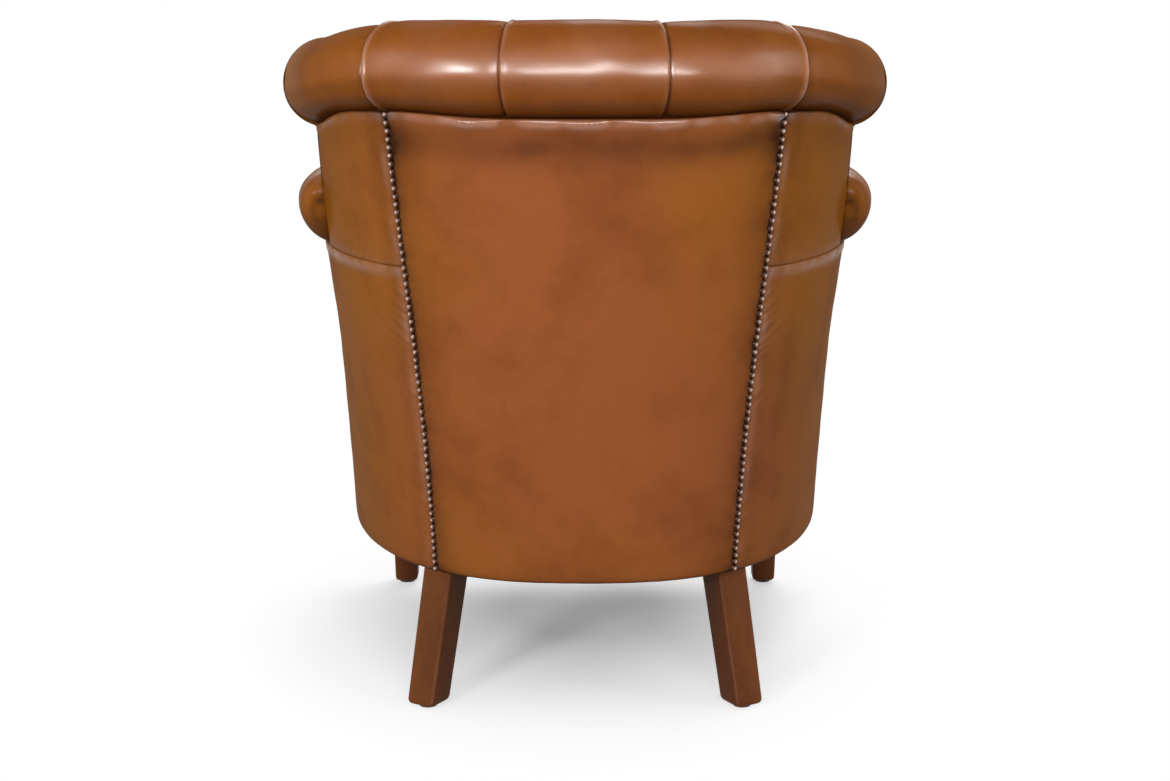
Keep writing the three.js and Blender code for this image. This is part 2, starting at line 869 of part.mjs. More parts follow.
// Wooden frame
const frame = { outer: frameInset, inner: frameInset + frameThickness };
const crestTop = (station) => rollCentreHeight - rollDrop(station) - rollCoreRadius - seatGap;
const armRailTop = (station) => armRollHeight - armDrop(station) - armCoreRadius - seatGap;
const crestBottom = (station) => crestTop(station) - crestDepth;
const armRailBottom = (station) => armRailTop(station) - armRailDepth;
const nailStationAtRail = nailStation(railTop);

function makeSeatFrame() {
  const rail = { ...frame, bottom: railBottom, top: railTop, rows: 1 };
  const rear = wallBlock({
    ...rail,
    from: -sideRailStartShare,
    to: sideRailStartShare,
    columns: rearRailColumns,
  });
  add("rear_seat_rail", rear, finishes.beech);
  const frontInside = -frontOfArms + frontRailInset + frontBoardThickness;
  const sideRail = () =>
    block(sideRailColumns, 1, (i, j, layer) => {
      const height = mix(railBottom, railTop, j);
      const last = stationBehindFront(frontInside + frontOfArms + seatGap, height);
      const station = stationAt(sideRailStartShare + stationGapShare, last, i / sideRailColumns);
      return wallPoint(station, height, layer ? frame.inner : frame.outer);
    });
  addPair("side_seat_rail", sideRail, finishes.beech);
  const railHalf = waistHalfWidth - frameInset;
  const front = new THREE.BoxGeometry(2 * railHalf, frontBoardThickness, railTop - railBottom);
  front.translate(0, frontInside - frontBoardThickness / 2, (railTop + railBottom) / 2);
  add("front_seat_rail", front, finishes.beech);
  return frontInside;
}

function rearLegTop() {
  return wallPoint(rearLegStationShare, bodyBaseHeight, rearLegInset);
}

// A threaded stud that stands out of a leg's top, and the hole for it
function stud(at, radius, bottom, top) {
  const geometry = new THREE.CylinderGeometry(radius, radius, top - bottom, studFacets);
  geometry.rotateX(quarterTurn);
  geometry.translate(at.x, at.y, (top + bottom) / 2);
  return geometry;
}

function makeCornerBlocks(frontInside) {
  const top = railBottom + cornerBlockHeight;
  const bore = (at) => stud(at, studRadius + boreClearance, railBottom - seatGap, top + seatGap);
  const rear = () =>
    cut(
      wallBlock({
        from: rearBlockStartShare,
        to: rearBlockEndShare,
        bottom: railBottom,
        top,
        outer: frame.inner + rimGap,
        inner: rearBlockInner,
        columns: rearBlockColumns,
        rows: 1,
      }),
      bore(rearLegTop()),
    );
  addPair("rear_corner_block", rear, finishes.beech);
  const sideInside = outlineAt(railBottom).half - frame.inner - seatGap;
  const corner = frontInside + seatGap;
  const front = () => {
    const points = [
      new THREE.Vector2(sideInside, corner),
      new THREE.Vector2(sideInside, corner + frontBlockSide),
      new THREE.Vector2(sideInside - frontBlockNose, corner + frontBlockSide),
      new THREE.Vector2(sideInside - frontBlockSide, corner + frontBlockNose),
      new THREE.Vector2(sideInside - frontBlockSide, corner),
    ];
    return cut(
      levelPlate(points, railBottom, cornerBlockHeight),
      bore(new THREE.Vector2(frontLegX, -frontLegY)),
    );
  };
  addPair("front_corner_block", front, finishes.beech);
}

function makeUprights() {
  const upright = { ...frame, bottom: railTop + seatGap, columns: postColumns, rows: postRows };
  const post = (share) => () =>
    wallBlock({
      ...upright,
      from: share - postHalfShare,
      to: share + postHalfShare,
      top: (station) => crestBottom(station) - seatGap,
    });
  addPair("back_post", post(nailStationAtRail + postHalfShare), finishes.beech);
  addPair("wing_post", post(wingStationShare - postHalfShare - stationGapShare), finishes.beech);
  const crest = wallBlock({
    ...frame,
    from: -wingStationShare,
    to: wingStationShare,
    bottom: crestBottom,
    top: crestTop,
    columns: crestColumns,
    rows: 1,
  });
  add("crest_rail", crest, finishes.beech);
  const tackHalf = nailStationAtRail - stationGapShare;
  const tack = wallBlock({
    ...frame,
    from: -tackHalf,
    to: tackHalf,
    bottom: tackRailBottom,
    top: tackRailBottom + tackRailHeight,
    columns: tackRailColumns,
    rows: 1,
  });
  add("back_tack_rail", tack, finishes.beech);
  const armPost = () =>
    block(1, postRows, (i, j, layer) => {
      const height = mix(railTop + seatGap, armRailBottom(2) - seatGap, j / postRows);
      const station = i ? 2 : stationBehindFront(armPostLength, height);
      return wallPoint(station, height, layer ? paddingBack - rimGap : frameInset);
    });
  addPair("arm_post", armPost, finishes.beech);
  const armRail = () =>
    wallBlock({
      from: wingStationShare + stationGapShare,
      to: 2,
      bottom: armRailBottom,
      top: armRailTop,
      outer: frameInset,
      inner: paddingBack - rimGap,
      columns: armRailColumns,
      rows: 1,
    });
  addPair("arm_rail", armRail, finishes.beech);
}

// Legs: tapered square section with worn edges, a foot that is rounded off, and a stud on top
function squareRing(centre, width, turn, height) {
  const half = width / 2;
  const inner = half - legChamfer;
  const corners = [
    [inner, half],
    [-inner, half],
    [-half, inner],
    [-half, -inner],
    [-inner, -half],
    [inner, -half],
    [half, -inner],
    [half, inner],
  ];
  return corners.map(([x, y]) => {
    const at = new THREE.Vector2(x, y).rotateAround(new THREE.Vector2(), turn);
    return new THREE.Vector3(centre.x + at.x, centre.y + at.y, height);
  });
}

function leg({ top, foot, topWidth, footWidth, turn }) {
  const topHeight = railBottom - legSeatGap;
  const bottom = glideThickness + legSeatGap;
  const at = (height) => {
    const share = (topHeight - height) / (topHeight - bottom);
    return {
      centre: new THREE.Vector2(mix(top.x, foot.x, share), mix(top.y, foot.y, share)),
      width: mix(topWidth, footWidth, share),
    };
  };
  const heights = [topHeight, bottom + footChamfer, bottom];
  const rings = heights.map((height, i) => {
    const { centre, width } = at(height);
    return squareRing(centre, i === 2 ? width - 2 * footChamfer : width, turn, height);
  });
  const body = loft(rings, rings[0].map((p) => new THREE.Vector2(p.x, p.y)));
  return join(body, stud(top, studRadius, topHeight - legChamfer, topHeight + studLength));
}

function makeLegs() {
  const rearTop = rearLegTop();
  const rear = {
    top: rearTop,
    foot: new THREE.Vector2(rearTop.x + rearLegSpread, rearTop.y + rearLegRake),
    topWidth: rearLegTopWidth,
    footWidth: rearLegFootWidth,
    turn: -radians(rearLegTurn),
  };
  const frontPlace = new THREE.Vector2(frontLegX, -frontLegY);
  const front = {
    top: frontPlace,
    foot: frontPlace,
    topWidth: frontLegTopWidth,
    footWidth: frontLegFootWidth,
    turn: 0,
  };
  addPair("rear_leg", () => leg(rear), finishes.wood);
  addPair("front_leg", () => leg(front), finishes.wood);
  const glide = (foot) => () => {
    const geometry = new THREE.CylinderGeometry(glideRadius, glideRadius, glideThickness, glideFacets);
    geometry.rotateX(quarterTurn);
    geometry.translate(foot.x, foot.y, glideThickness / 2);
    return geometry;
  };
  addPair("rear_foot_glide", glide(rear.foot), finishes.nylon);
  addPair("front_foot_glide", glide(front.foot), finishes.nylon);
  return [rear, front];
}

// Sinuous wire springs from the front rail to the rear rail
class SpringLine extends THREE.Curve {
  constructor(x) {
    super();
    this.x = x;
    this.front = -frontOfArms + frontRailInset + springFrontMargin;
    const stations = [0, sideRailStartShare].map((s) => wallPoint(s, railTop, frame.inner));
    const bend = held(Math.abs(x) / stations[1].x) ** squarenessShare;
    this.rear = mix(stations[0].y, stations[1].y, bend) + springRearMargin;
  }

  getPoint(t) {
    const wave = Math.sin(2 * Math.PI * springWaves * t);
    const base = railTop + seatGap + springWireRadius * Math.SQRT1_2;
    const crown = deckTop - deckThickness - seatGap - springWireRadius - base;
    const rise = crown * Math.sin(Math.PI * t);
    return new THREE.Vector3(
      this.x + springHalfWidth * wave,
      mix(this.front, this.rear, t),
      base + rise,
    );
  }
}

// A square wire along a spring's line, with a ring of corners at both ends and in the middle of each step
function spring(x) {
  const steps = springWaves * springStepsPerWave;
  const halfStep = 1 / (2 * steps);
  const shares = [0];
  for (let k = 0; k < steps; k += 1) {
    shares.push(k / steps + halfStep);
  }
  shares.push(1);
  const line = new SpringLine(x);
  const section = [];
  for (let corner = 0; corner < wireCorners; corner += 1) {
    const angle = (2 * corner + 1) * (quarterTurn / 2);
    section.push(new THREE.Vector2(Math.cos(angle), Math.sin(angle)));
  }
  const rings = shares.map((share) => {
    const at = line.getPoint(share);
    const before = line.getPoint(Math.max(0, share - halfStep));
    const after = line.getPoint(Math.min(1, share + halfStep));
    const along = after.sub(before).normalize();
    const across = new THREE.Vector3(0, 0, 1).cross(along).normalize();
    const above = along.clone().cross(across);
    return section.map(({ x: right, y: high }) =>
      at
        .clone()
        .addScaledVector(across, springWireRadius * right)
        .addScaledVector(above, springWireRadius * high),
    );
  });
  return loft(rings, section);
}

function makeSuspension() {
  for (let i = 0; i < springCount; i += 1) {
    const x = (i - (springCount - 1) / 2) * springSpacing;
    add(`seat_spring_${i + 1}`, spring(x), finishes.steel);
  }
  for (let i = 0; i < webbingCount; i += 1) {
    const middle = rearStationStep((i - (webbingCount - 1) / 2) * webbingSpacing);
    const half = rearStationStep(webbingWidth / 2);
    const strap = wallBlock({
      from: middle - half,
      to: middle + half,
      bottom: tackRailBottom + rimGap,
      top: (station) => crestBottom(station) + webbingLap,
      outer: webbingInset,
      inner: webbingInset + webbingThickness,
      columns: webbingColumns,
      rows: webbingRows,
    });
    add(`back_webbing_${i + 1}`, strap, finishes.webbing);
  }
}

// Stations all round the tub, close together round the bend
function tubStations(bendColumns) {
  const stations = [-2];
  for (let i = 0; i <= bendColumns; i += 1) {
    stations.push(mix(-1, 1, i / bendColumns));
  }
  return [...stations, 2];
}

// Plan outline inside the arms and back, so far clear of them, as far forward as front
function insideOutline(height, extra, front) {
  return tubStations(seatBendColumns).map((station) => {
    const beyond = Math.abs(station) > wingStationShare;
    const inset = beyond ? armInset(station, height) : backInset(station, height);
    const at = wallPoint(station, height, inset + extra);
    return new THREE.Vector2(at.x, Math.abs(station) === 2 ? front : at.y);
  });
}

function makeDeckAndDust(legs) {
  const bottom = deckTop - deckThickness;
  const deckPoints = insideOutline(bottom, rimGap, -frontOfArms + frontRailInset);
  add("seat_deck", levelPlate(deckPoints, bottom, deckThickness), finishes.cloth);
  const edgeHeight = bottom - seatGap - (railTop + seatGap);
  const edgeDepth = springFrontMargin - springWireRadius - seatGap;
  const edge = new THREE.BoxGeometry(2 * deckPoints.at(-1).x, edgeDepth, edgeHeight);
  const edgeFront = -frontOfArms + frontRailInset;
  edge.translate(0, edgeFront + edgeDepth / 2, bottom - seatGap - edgeHeight / 2);
  add("front_edge_roll", edge, finishes.foam);
  const dustPoints = tubStations(seatBendColumns).map((station) => {
    const at = wallPoint(station, bodyBaseHeight, dustInset);
    return new THREE.Vector2(at.x, at.y + (Math.abs(station) === 2 ? dustInset : 0));
  });
  const dust = levelPlate(dustPoints, dustBottom, dustThickness);
  const opening = ({ top, topWidth, turn }) => {
    const width = topWidth + 2 * legOpeningGap;
    const low = squareRing(top, width, turn, dustBottom - dustThickness);
    const high = squareRing(top, width, turn, dustBottom + 2 * dustThickness);
    return loft([low, high], low.map((p) => new THREE.Vector2(p.x, p.y)));
  };
  const openings = legs.map(opening).flatMap((tool) => [tool, mirrored(tool)]);
  add("dust_cover", cut(dust, ...openings), finishes.cloth);
}

// Loose seat cushion: a leather top and a leather body with drawn-in sides round a foam core
function cushionRing(height, extra) {
  const front = -frontOfArms - facingThickness - cushionFrontOverhang + extra;
  const points = insideOutline(height, cushionSide + extra, front);
  const corner = points[0];
  const round = cushionCornerRadius;
  const bulge = round * (1 - Math.SQRT1_2);
  const side = (sign) => [
    new THREE.Vector2(-sign * corner.x, corner.y + round),
    new THREE.Vector2(-sign * (corner.x + bulge), corner.y + bulge),
    new THREE.Vector2(-sign * (corner.x + round), corner.y),
  ];
  const inner = points.slice(1, -1);
  const middle = new THREE.Vector2(0, corner.y);
  return [...side(-1).reverse(), ...inner, ...side(1), middle].map(
    (p) => new THREE.Vector3(p.x, p.y, height),
  );
}

function shrunk(ring, share, height) {
  const middle = new THREE.Vector3();
  ring.forEach((p) => middle.addScaledVector(p, 1 / ring.length));
  return ring.map((p) => {
    const at = p.clone().lerp(middle, share);
    at.z = height;
    return at;
  });
}

// Rings of the crowned top from its edge to a small flat in the middle
function crownRings(height, extra) {
  const edge = cushionRing(height, extra);
  return crownShares.map((share) => {
    const rise = cushionCrown * (1 - (1 - share / crownShares.at(-1)) ** 2);
    return shrunk(edge, share, height + rise);
  });
}

function makeCushion() {
  const bottom = deckTop + seatGap;
  const top = bottom + cushionSideThickness;
  const flatOf = (ring) => ring.map((p) => new THREE.Vector2(p.x, p.y));
  const outerTop = crownRings(top, 0);
  const innerTop = crownRings(top, 0).map((ring) =>
    ring.map((p) => new THREE.Vector3(p.x, p.y, p.z - cushionLeather)),
  );
  const topSkin = loft([...innerTop.reverse(), ...outerTop], flatOf(outerTop[0]));
  add("seat_cushion_top", topSkin, finishes.leather, cushionGroup);
  const wallTop = top - cushionLeather - seatGap;
  const wallMiddle = (bottom + wallTop) / 2;
  const outer = [
    cushionRing(bottom, 0),
    cushionRing(wallMiddle, cushionDrawnIn),
    cushionRing(wallTop, 0),
  ];
  const lining = cushionLeather + bottom;
  const inner = [
    cushionRing(wallTop, cushionLeather),
    cushionRing(wallMiddle, cushionDrawnIn + cushionLeather),
    cushionRing(lining, cushionLeather),
  ];
  const body = loft([...outer, ...inner], flatOf(outer[0]));
  add("seat_cushion_body", body, finishes.leather, cushionGroup);
  const coreSide = cushionLeather + rimGap;
  const core = loft(
    [
      ...crownRings(wallTop - rimGap, coreSide).reverse(),
      cushionRing(wallMiddle, cushionDrawnIn + coreSide),
      cushionRing(lining + rimGap, coreSide),
    ],
    flatOf(outer[0]),
  );
  add("seat_cushion_core", core, finishes.foam, cushionGroup);
}

// Facings that close the arm fronts and the wing ends, and the border under the seat
function armFrontOutline() {
  const points = [];
  const across = (height, inset) => outlineAt(height).half - inset;
  for (let j = 0; j <= facingRows; j += 1) {
    const height = mix(bodyBaseHeight, armCrease(2) - rimGap, j / facingRows);
    points.push(new THREE.Vector2(across(height, 0), height));
  }
  const first = armRows - rollCells;
  for (let row = armRows - 1; row >= first; row -= 1) {
    const at = armPoint(2, row, 0);
    points.push(new THREE.Vector2(at.x, at.z));
  }
  for (const share of facingFallShares) {
    const height = mix(armRollHeight - armDrop(2), armPadHeight, share);
    points.push(new THREE.Vector2(across(height, armInset(2, height)), height));
  }
  points.push(new THREE.Vector2(across(bodyBaseHeight, armPadInset), bodyBaseHeight));
  return points;
}

// Front of a wing: the section of the top roll, and below it a notch that sits on the end of the arm roll
function wingFacing() {
  const start = armStart;
  const end = start + stationStep(wingFacingThickness);
  const centre = rollCentreHeight - rollDrop(wingStationShare);
  const notchAt = (angle) =>
    (armRollRadius * armRollShare(end, angle) + 2 * rimGap) / Math.cos(quarterTurn / notchCells);
  const outline = [];
  for (let k = 0; k <= rollCells; k += 1) {
    const angle = radians((rollCreaseAngle * k) / rollCells);
    outline.push([rollInset + rollRadius * Math.cos(angle), centre + rollRadius * Math.sin(angle)]);
  }
  const from = Math.acos(-armRollInset / notchAt(radians(armEndTurn)));
  for (let k = 0; k <= notchCells; k += 1) {
    const angle = from * (1 - k / notchCells);
    const reach = notchAt(angle);
    outline.push([armRollInset + reach * Math.cos(angle), armRollHeight + reach * Math.sin(angle)]);
  }
  const middle = (armRollHeight + centre) / 2;
  outline.push([wingInset(middle), middle]);
  const ring = (station) => outline.map(([inset, height]) => wallPoint(station, height, inset));
  return loft(
    [ring(start), ring(end)],
    outline.map(([inset, height]) => new THREE.Vector2(-inset, height)),
  );
}

function makeFacings() {
  const facing = () =>
    frontPlate(armFrontOutline(), -frontOfArms - seatGap, facingThickness, facingBevel);
  addPair("arm_front_facing", facing, finishes.hide);
  addPair("wing_front_facing", wingFacing, finishes.hide);
  const half = outlineAt(bodyBaseHeight).half - armPadInset - rimGap;
  const border = frontPlate(
    [
      new THREE.Vector2(-half, bodyBaseHeight),
      new THREE.Vector2(half, bodyBaseHeight),
      new THREE.Vector2(half, borderTop),
      new THREE.Vector2(-half, borderTop),
    ],
    -frontOfArms + frontRailInset - seatGap,
    borderThickness,
    facingBevel,
  );
  add("front_border", border, finishes.hide);
}

// Close nails along the seam of the outside back, each head a bead of one strip
function nailStrip() {
  const bottom = bodyBaseHeight + nailDiameter / 2;
  const top = rollCrease(nailTopStationShare) - nailDiameter;
  const count = Math.floor((top - bottom) / nailPitch);
  const rings = [];
  for (let k = 0; k <= 2 * count; k += 1) {
    const height = bottom + (k * nailPitch) / 2;
    const wide = k % 2 ? nailDiameter / 2 : nailNeckWidth / 2;
    const tall = k % 2 ? nailHeight : nailNeckHeight;
    const step = stationStep(wide);
    const line = nailStation(height) + stationGapShare / 2;
    rings.push([
      wallPoint(line - step, height, -seatGap),
      wallPoint(line, height, -seatGap - tall),
      wallPoint(line + step, height, -seatGap),
    ]);
  }
  const flat = rings[0].map((p, i) => new THREE.Vector2(i - 1, 1 - Math.abs(i - 1)));
  return loft(rings, flat);
}

makePadding();
makeOutsidePanels();
makeCornerBlocks(makeSeatFrame());
makeUprights();
makeDeckAndDust(makeLegs());
makeSuspension();
makeCushion();
makeFacings();
addPair("nail_trim", nailStrip, finishes.brass);

// The origin is under the middle of the chair, on the floor
assembly.add(cushionGroup);
const extent = new THREE.Box3().setFromObject(assembly);
assembly.position.y = -(extent.min.y + extent.max.y) / 2;
const chair = new THREE.Group();
chair.name = "chesterfield_armchair";
chair.add(assembly);

export default chair;
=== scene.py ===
"""Looks of a deep-buttoned tub armchair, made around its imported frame.

Metres, +Z up. The front of the chair faces -Y and the sitter's left is +X.
"""

import logging
import math
from collections.abc import Callable, Sequence
from dataclasses import dataclass, field
from enum import Enum

import bpy
import numpy as np
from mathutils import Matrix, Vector
from mathutils.bvhtree import BVHTree
from mathutils.geometry import delaunay_2d_cdt


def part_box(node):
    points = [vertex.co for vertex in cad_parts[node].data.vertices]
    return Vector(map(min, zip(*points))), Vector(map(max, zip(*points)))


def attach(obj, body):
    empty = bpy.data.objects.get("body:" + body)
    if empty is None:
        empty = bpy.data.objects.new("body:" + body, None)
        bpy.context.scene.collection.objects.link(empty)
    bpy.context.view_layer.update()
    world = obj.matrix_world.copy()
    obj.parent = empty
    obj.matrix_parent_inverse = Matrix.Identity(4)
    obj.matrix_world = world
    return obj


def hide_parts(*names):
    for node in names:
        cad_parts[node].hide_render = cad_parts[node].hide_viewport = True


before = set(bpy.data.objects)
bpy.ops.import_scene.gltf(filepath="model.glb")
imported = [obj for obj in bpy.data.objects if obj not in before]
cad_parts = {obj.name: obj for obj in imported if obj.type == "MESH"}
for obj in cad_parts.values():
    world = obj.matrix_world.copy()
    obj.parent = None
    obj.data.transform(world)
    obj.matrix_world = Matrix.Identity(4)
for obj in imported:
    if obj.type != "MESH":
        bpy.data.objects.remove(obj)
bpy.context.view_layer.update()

LOG = logging.getLogger("armchair")
QUARTER_TURN = math.pi / 2
NAIL_PITCH = 0.0103
SHARP_FROM = math.radians(48)
# Y of the front seat rail's rear face in the tub's own plan, before its shift
RAIL_BACK = -0.313

Array = np.ndarray
Colour = tuple[float, float, float, float]
WHITE: Colour = (1, 1, 1, 1)
Limit = Callable[[Array], Array] | float
Place = tuple[Array, Array]


class Side(Enum):
    """A side of the chair as its sitter has it, with its sign on X."""

    LEFT = 1
    RIGHT = -1

    @property
    def word(self) -> str:
        """The side's name as the nodes have it."""
        return self.name.lower()


class Mark(Enum):
    """What a point of a mesh tells its material."""

    # painted shade: darker colour in folds, grooves, hollows, along edges and under things
    FOLD = "fold"
    # wear and painted highlights: paler, glossier colour on ridges and crowns and where the lamps reflect
    RUB = "rub"


def mix(start: Array | float, end: Array | float, share: Array | float) -> Array | float:
    """Value that lies the given share of the way from start to end."""
    return start + (end - start) * share


def ease(share: Array | float) -> Array:
    """Share from 0 to 1 with a soft start and a soft end."""
    held = np.clip(share, 0.0, 1.0)
    return held * held * (3 - 2 * held)


def bell(distance: Array | float, width: Array | float) -> Array:
    """1 at no distance, falling off over about the width."""
    return np.exp(-((distance / width) ** 2))


def fading(distance: Array, reach: float) -> Array:
    """1 at no distance, falling off more and more slowly over about the reach."""
    return np.exp(-distance / reach)


def round_edge(distance: Array, radius: float) -> Array:
    """Height of a rounded edge at a distance from it, from 0 to 1."""
    return np.sqrt(1 - np.clip(1 - distance / radius, 0, 1) ** 2)


def spun(turn: float) -> Array:
    """Matrix that turns plan points by an angle, 2 by 2."""
    return np.array([[math.cos(turn), -math.sin(turn)], [math.sin(turn), math.cos(turn)]])


def linear(red: int, green: int, blue: int) -> Colour:
    """Turns a screen colour into linear light.

    Args:
        red: Red, from 0 to 255.
        green: Green, from 0 to 255.
        blue: Blue, from 0 to 255.

    Returns:
        The colour, with an alpha of 1.
    """
    shares = [channel / 255 for channel in (red, green, blue)]
    lit = [s / 12.92 if s <= 0.04045 else ((s + 0.055) / 1.055) ** 2.4 for s in shares]
    return (*lit, 1.0)


def along_rows(points: Array, axis: int) -> Array:
    """Length walked over a grid of points along one of its axes.

    Args:
        points: Grid of points, columns by rows by 3.
        axis: 0 to walk from column to column, 1 from row to row.

    Returns:
        The distance from the first point of each line, columns by rows.
    """
    steps = np.linalg.norm(np.diff(points, axis=axis), axis=2)
    walked = np.cumsum(steps, axis=axis)
    pad = [(0, 0), (0, 0)]
    pad[axis] = (1, 0)
    return np.pad(walked, pad)


def crowded(count: int, crowding: float) -> Array:
    """Shares from 0 to 1 by a count of steps, closer together at both ends by the crowding."""
    even = np.linspace(0.0, 1.0, count + 1)
    return even - crowding * np.sin(2 * math.pi * even) / (2 * math.pi)


@dataclass(frozen=True)
class Ripple:
    """Smooth unevenness made of crossing waves, the same on every run."""

    wavelength: float
    seed: int
    waves: int = 9

    def at(self, points: Array) -> Array:
        """Height of the ripple at points, mostly between -1 and 1.

        Args:
            points: Array whose last axis is X, Y and Z.

        Returns:
            One value a point.
        """
        rng = np.random.default_rng(self.seed)
        total = np.zeros(points.shape[:-1])
        for _ in range(self.waves):
            way = rng.normal(size=3)
            way *= 2 * math.pi * rng.uniform(0.6, 1.5) / self.wavelength / np.linalg.norm(way)
            total += np.sin(points @ way + rng.uniform(0, 2 * math.pi))
        return total / math.sqrt(self.waves / 2) / 1.6


@dataclass
class Form:
    """Points, faces and marks of a mesh in the making."""

    points: Array
    quads: Array
    triangles: Array
    fold: Array
    rub: Array

    @classmethod
    def joined(cls, forms: Sequence["Form"]) -> "Form":
        """One form that holds several.

        Args:
            forms: The forms, in order.

        Returns:
            The form of all their points and faces.
        """
        starts = np.cumsum([0] + [len(form.points) for form in forms[:-1]])
        return cls(
            np.concatenate([form.points for form in forms]),
            np.concatenate([form.quads + start for form, start in zip(forms, starts)]),
            np.concatenate([form.triangles + start for form, start in zip(forms, starts)]),
            np.concatenate([form.fold for form in forms]),
            np.concatenate([form.rub for form in forms]),
        )

    def mirrored(self) -> "Form":
        """The same form on the other side of the chair."""
        flip = np.array([-1.0, 1.0, 1.0])
        return Form(self.points * flip, self.quads[:, ::-1], self.triangles[:, ::-1], self.fold, self.rub)

    def for_side(self, side: Side) -> "Form":
        """The form itself for the left side, and its mirror image for the right."""
        return self if side is Side.LEFT else self.mirrored()

    def facing_out(self) -> "Form":
        """The form with its faces turned outwards.

        Returns:
            The form itself where they are, or else a copy with its faces turned.
        """
        split = np.concatenate([self.triangles, self.quads[:, [0, 1, 2]], self.quads[:, [0, 2, 3]]])
        a, b, c = (self.points[split[:, k]] for k in range(3))
        if np.einsum("ij,ij->i", a, np.cross(b, c)).sum() >= 0:
            return self
        return Form(self.points, self.quads[:, ::-1], self.triangles[:, ::-1], self.fold, self.rub)


def bare_form(points: Array, quads: Array, triangles: Array | None = None) -> Form:
    """A form with no marks on it.

    Args:
        points: Its points, n by 3.
        quads: Its four-sided faces, m by 4.
        triangles: Its three-sided faces, k by 3, or None.

    Returns:
        The form, with its faces turned outwards.
    """
    none = np.zeros(len(points))
    empty = np.zeros((0, 3), int) if triangles is None else triangles
    return Form(points, quads, empty, none, none.copy()).facing_out()


def shell(
    outer: Array,
    inner: Array,
    fold: Array | float = 0.0,
    rub: Array | float = 0.0,
    slanted: Array | None = None,
) -> Form:
    """A closed shell between two grids of points.

    Args:
        outer: Outside points, columns by rows by 3.
        inner: Inside points of the same count.
        fold: Fold mark of each grid point.
        rub: Rub mark of each grid point.
        slanted: Which cells are split along their other diagonal, or None for no split.

    Returns:
        The form, with its faces turned outwards.
    """
    columns, rows = outer.shape[:2]
    grid = np.arange(columns * rows).reshape(columns, rows)
    under = grid + columns * rows
    cells = np.stack([grid[:-1, :-1], grid[1:, :-1], grid[1:, 1:], grid[:-1, 1:]], axis=2)
    below = cells[:, :, ::-1] + columns * rows
    rims = []
    for edge, low in ((grid[:, 0], under[:, 0]), (grid[::-1, -1], under[::-1, -1])):
        rims.append(np.stack([edge[:-1], low[:-1], low[1:], edge[1:]], axis=1))
    for edge, low in ((grid[0], under[0]), (grid[-1][::-1], under[-1][::-1])):
        rims.append(np.stack([edge[1:], low[1:], low[:-1], edge[:-1]], axis=1))
    if slanted is None:
        quads = np.concatenate([cells.reshape(-1, 4), below.reshape(-1, 4), *rims])
        triangles = np.zeros((0, 3), int)
    else:
        turned = np.where(slanted[:, :, None], np.roll(cells, -1, axis=2), cells).reshape(-1, 4)
        upper = np.concatenate([turned[:, [0, 1, 2]], turned[:, [0, 2, 3]]])
        triangles = np.concatenate([upper, upper[:, ::-1] + columns * rows])
        quads = np.concatenate(rims)
    flat = np.zeros((columns, rows))
    marks = [np.tile(np.clip(flat + mark, 0, 1).ravel(), 2) for mark in (fold, rub)]
    points = np.concatenate([outer.reshape(-1, 3), inner.reshape(-1, 3)])
    return Form(points, quads, triangles, *marks).facing_out()


def stacked(rings: Array, ends: Array | None = None) -> Form:
    """A closed form of rings, each joined to the next.

    Args:
        rings: The rings, n by m by 3.
        ends: Middles of the first and the last ring's caps, or None where the last ring joins the first.

    Returns:
        The form, with the middles of its caps as its last points.
    """
    count, steps = rings.shape[:2]
    ids = np.arange(count * steps).reshape(count, steps)
    lines = np.concatenate([ids, ids[:1]]) if ends is None else ids
    onward = np.roll(lines, -1, axis=1)
    quads = np.stack([lines[:-1], onward[:-1], onward[1:], lines[1:]], axis=2).reshape(-1, 4)
    points = rings.reshape(-1, 3)
    if ends is None:
        return bare_form(points, quads)
    first, last, middle = ids[0], ids[-1], len(points)
    triangles = np.concatenate([
        np.stack([0 * first + middle, np.roll(first, -1), first], 1),
        np.stack([0 * last + middle + 1, last, np.roll(last, -1)], 1),
    ])
    return bare_form(np.concatenate([points, ends]), quads, triangles)


def turned_form(profile: Sequence[tuple[float, float]], steps: int) -> Form:
    """A form turned about Z from a profile that starts and ends on the axis.

    Args:
        profile: Pairs of radius and height, from the bottom to the top.
        steps: How many steps go round.

    Returns:
        The form, with its axis on Z.
    """
    angles = np.arange(steps) * 2 * math.pi / steps
    rims = [np.stack([r * np.cos(angles), r * np.sin(angles), 0 * angles + z], 1) for r, z in profile[1:-1]]
    ends = [[0, 0, profile[0][1]], [0, 0, profile[-1][1]]]
    return stacked(np.array(rims), np.array(ends))


def stood_on(form: Form, at: Array, outward: Array, spin: float = 0.0) -> Form:
    """A copy of a form moved to a point, with its axis along a direction.

    Args:
        form: The form, with its axis on Z.
        at: Where its origin goes.
        outward: Where its axis points.
        spin: Angle it is turned about its own axis.

    Returns:
        The moved copy.
    """
    turn = Vector((0, 0, 1)).rotation_difference(Vector(outward)).to_matrix()
    own = np.eye(3)
    own[:2, :2] = spun(spin)
    points = form.points @ (np.array(turn) @ own).T + at
    return Form(points, form.quads, form.triangles, form.fold, form.rub)


def cord_ring(path: Array, radius: float, sides: int) -> Form:
    """A round cord along a path that runs back to its start.

    Args:
        path: Points of its middle line, n by 3.
        radius: Radius of the cord.
        sides: How many sides its section has.

    Returns:
        The cord's form.
    """
    ahead = np.roll(path, -1, axis=0) - np.roll(path, 1, axis=0)
    ahead /= np.linalg.norm(ahead, axis=1, keepdims=True)
    lift = np.tile(np.array([0.13, 0.07, 1.0]), (len(path), 1))
    across = np.cross(ahead, lift)
    across /= np.linalg.norm(across, axis=1, keepdims=True)
    upward = np.cross(across, ahead)
    angles = np.arange(sides)[None, :, None] * 2 * math.pi / sides
    around = np.cos(angles) * across[:, None] + np.sin(angles) * upward[:, None]
    return stacked(path[:, None] + radius * around)


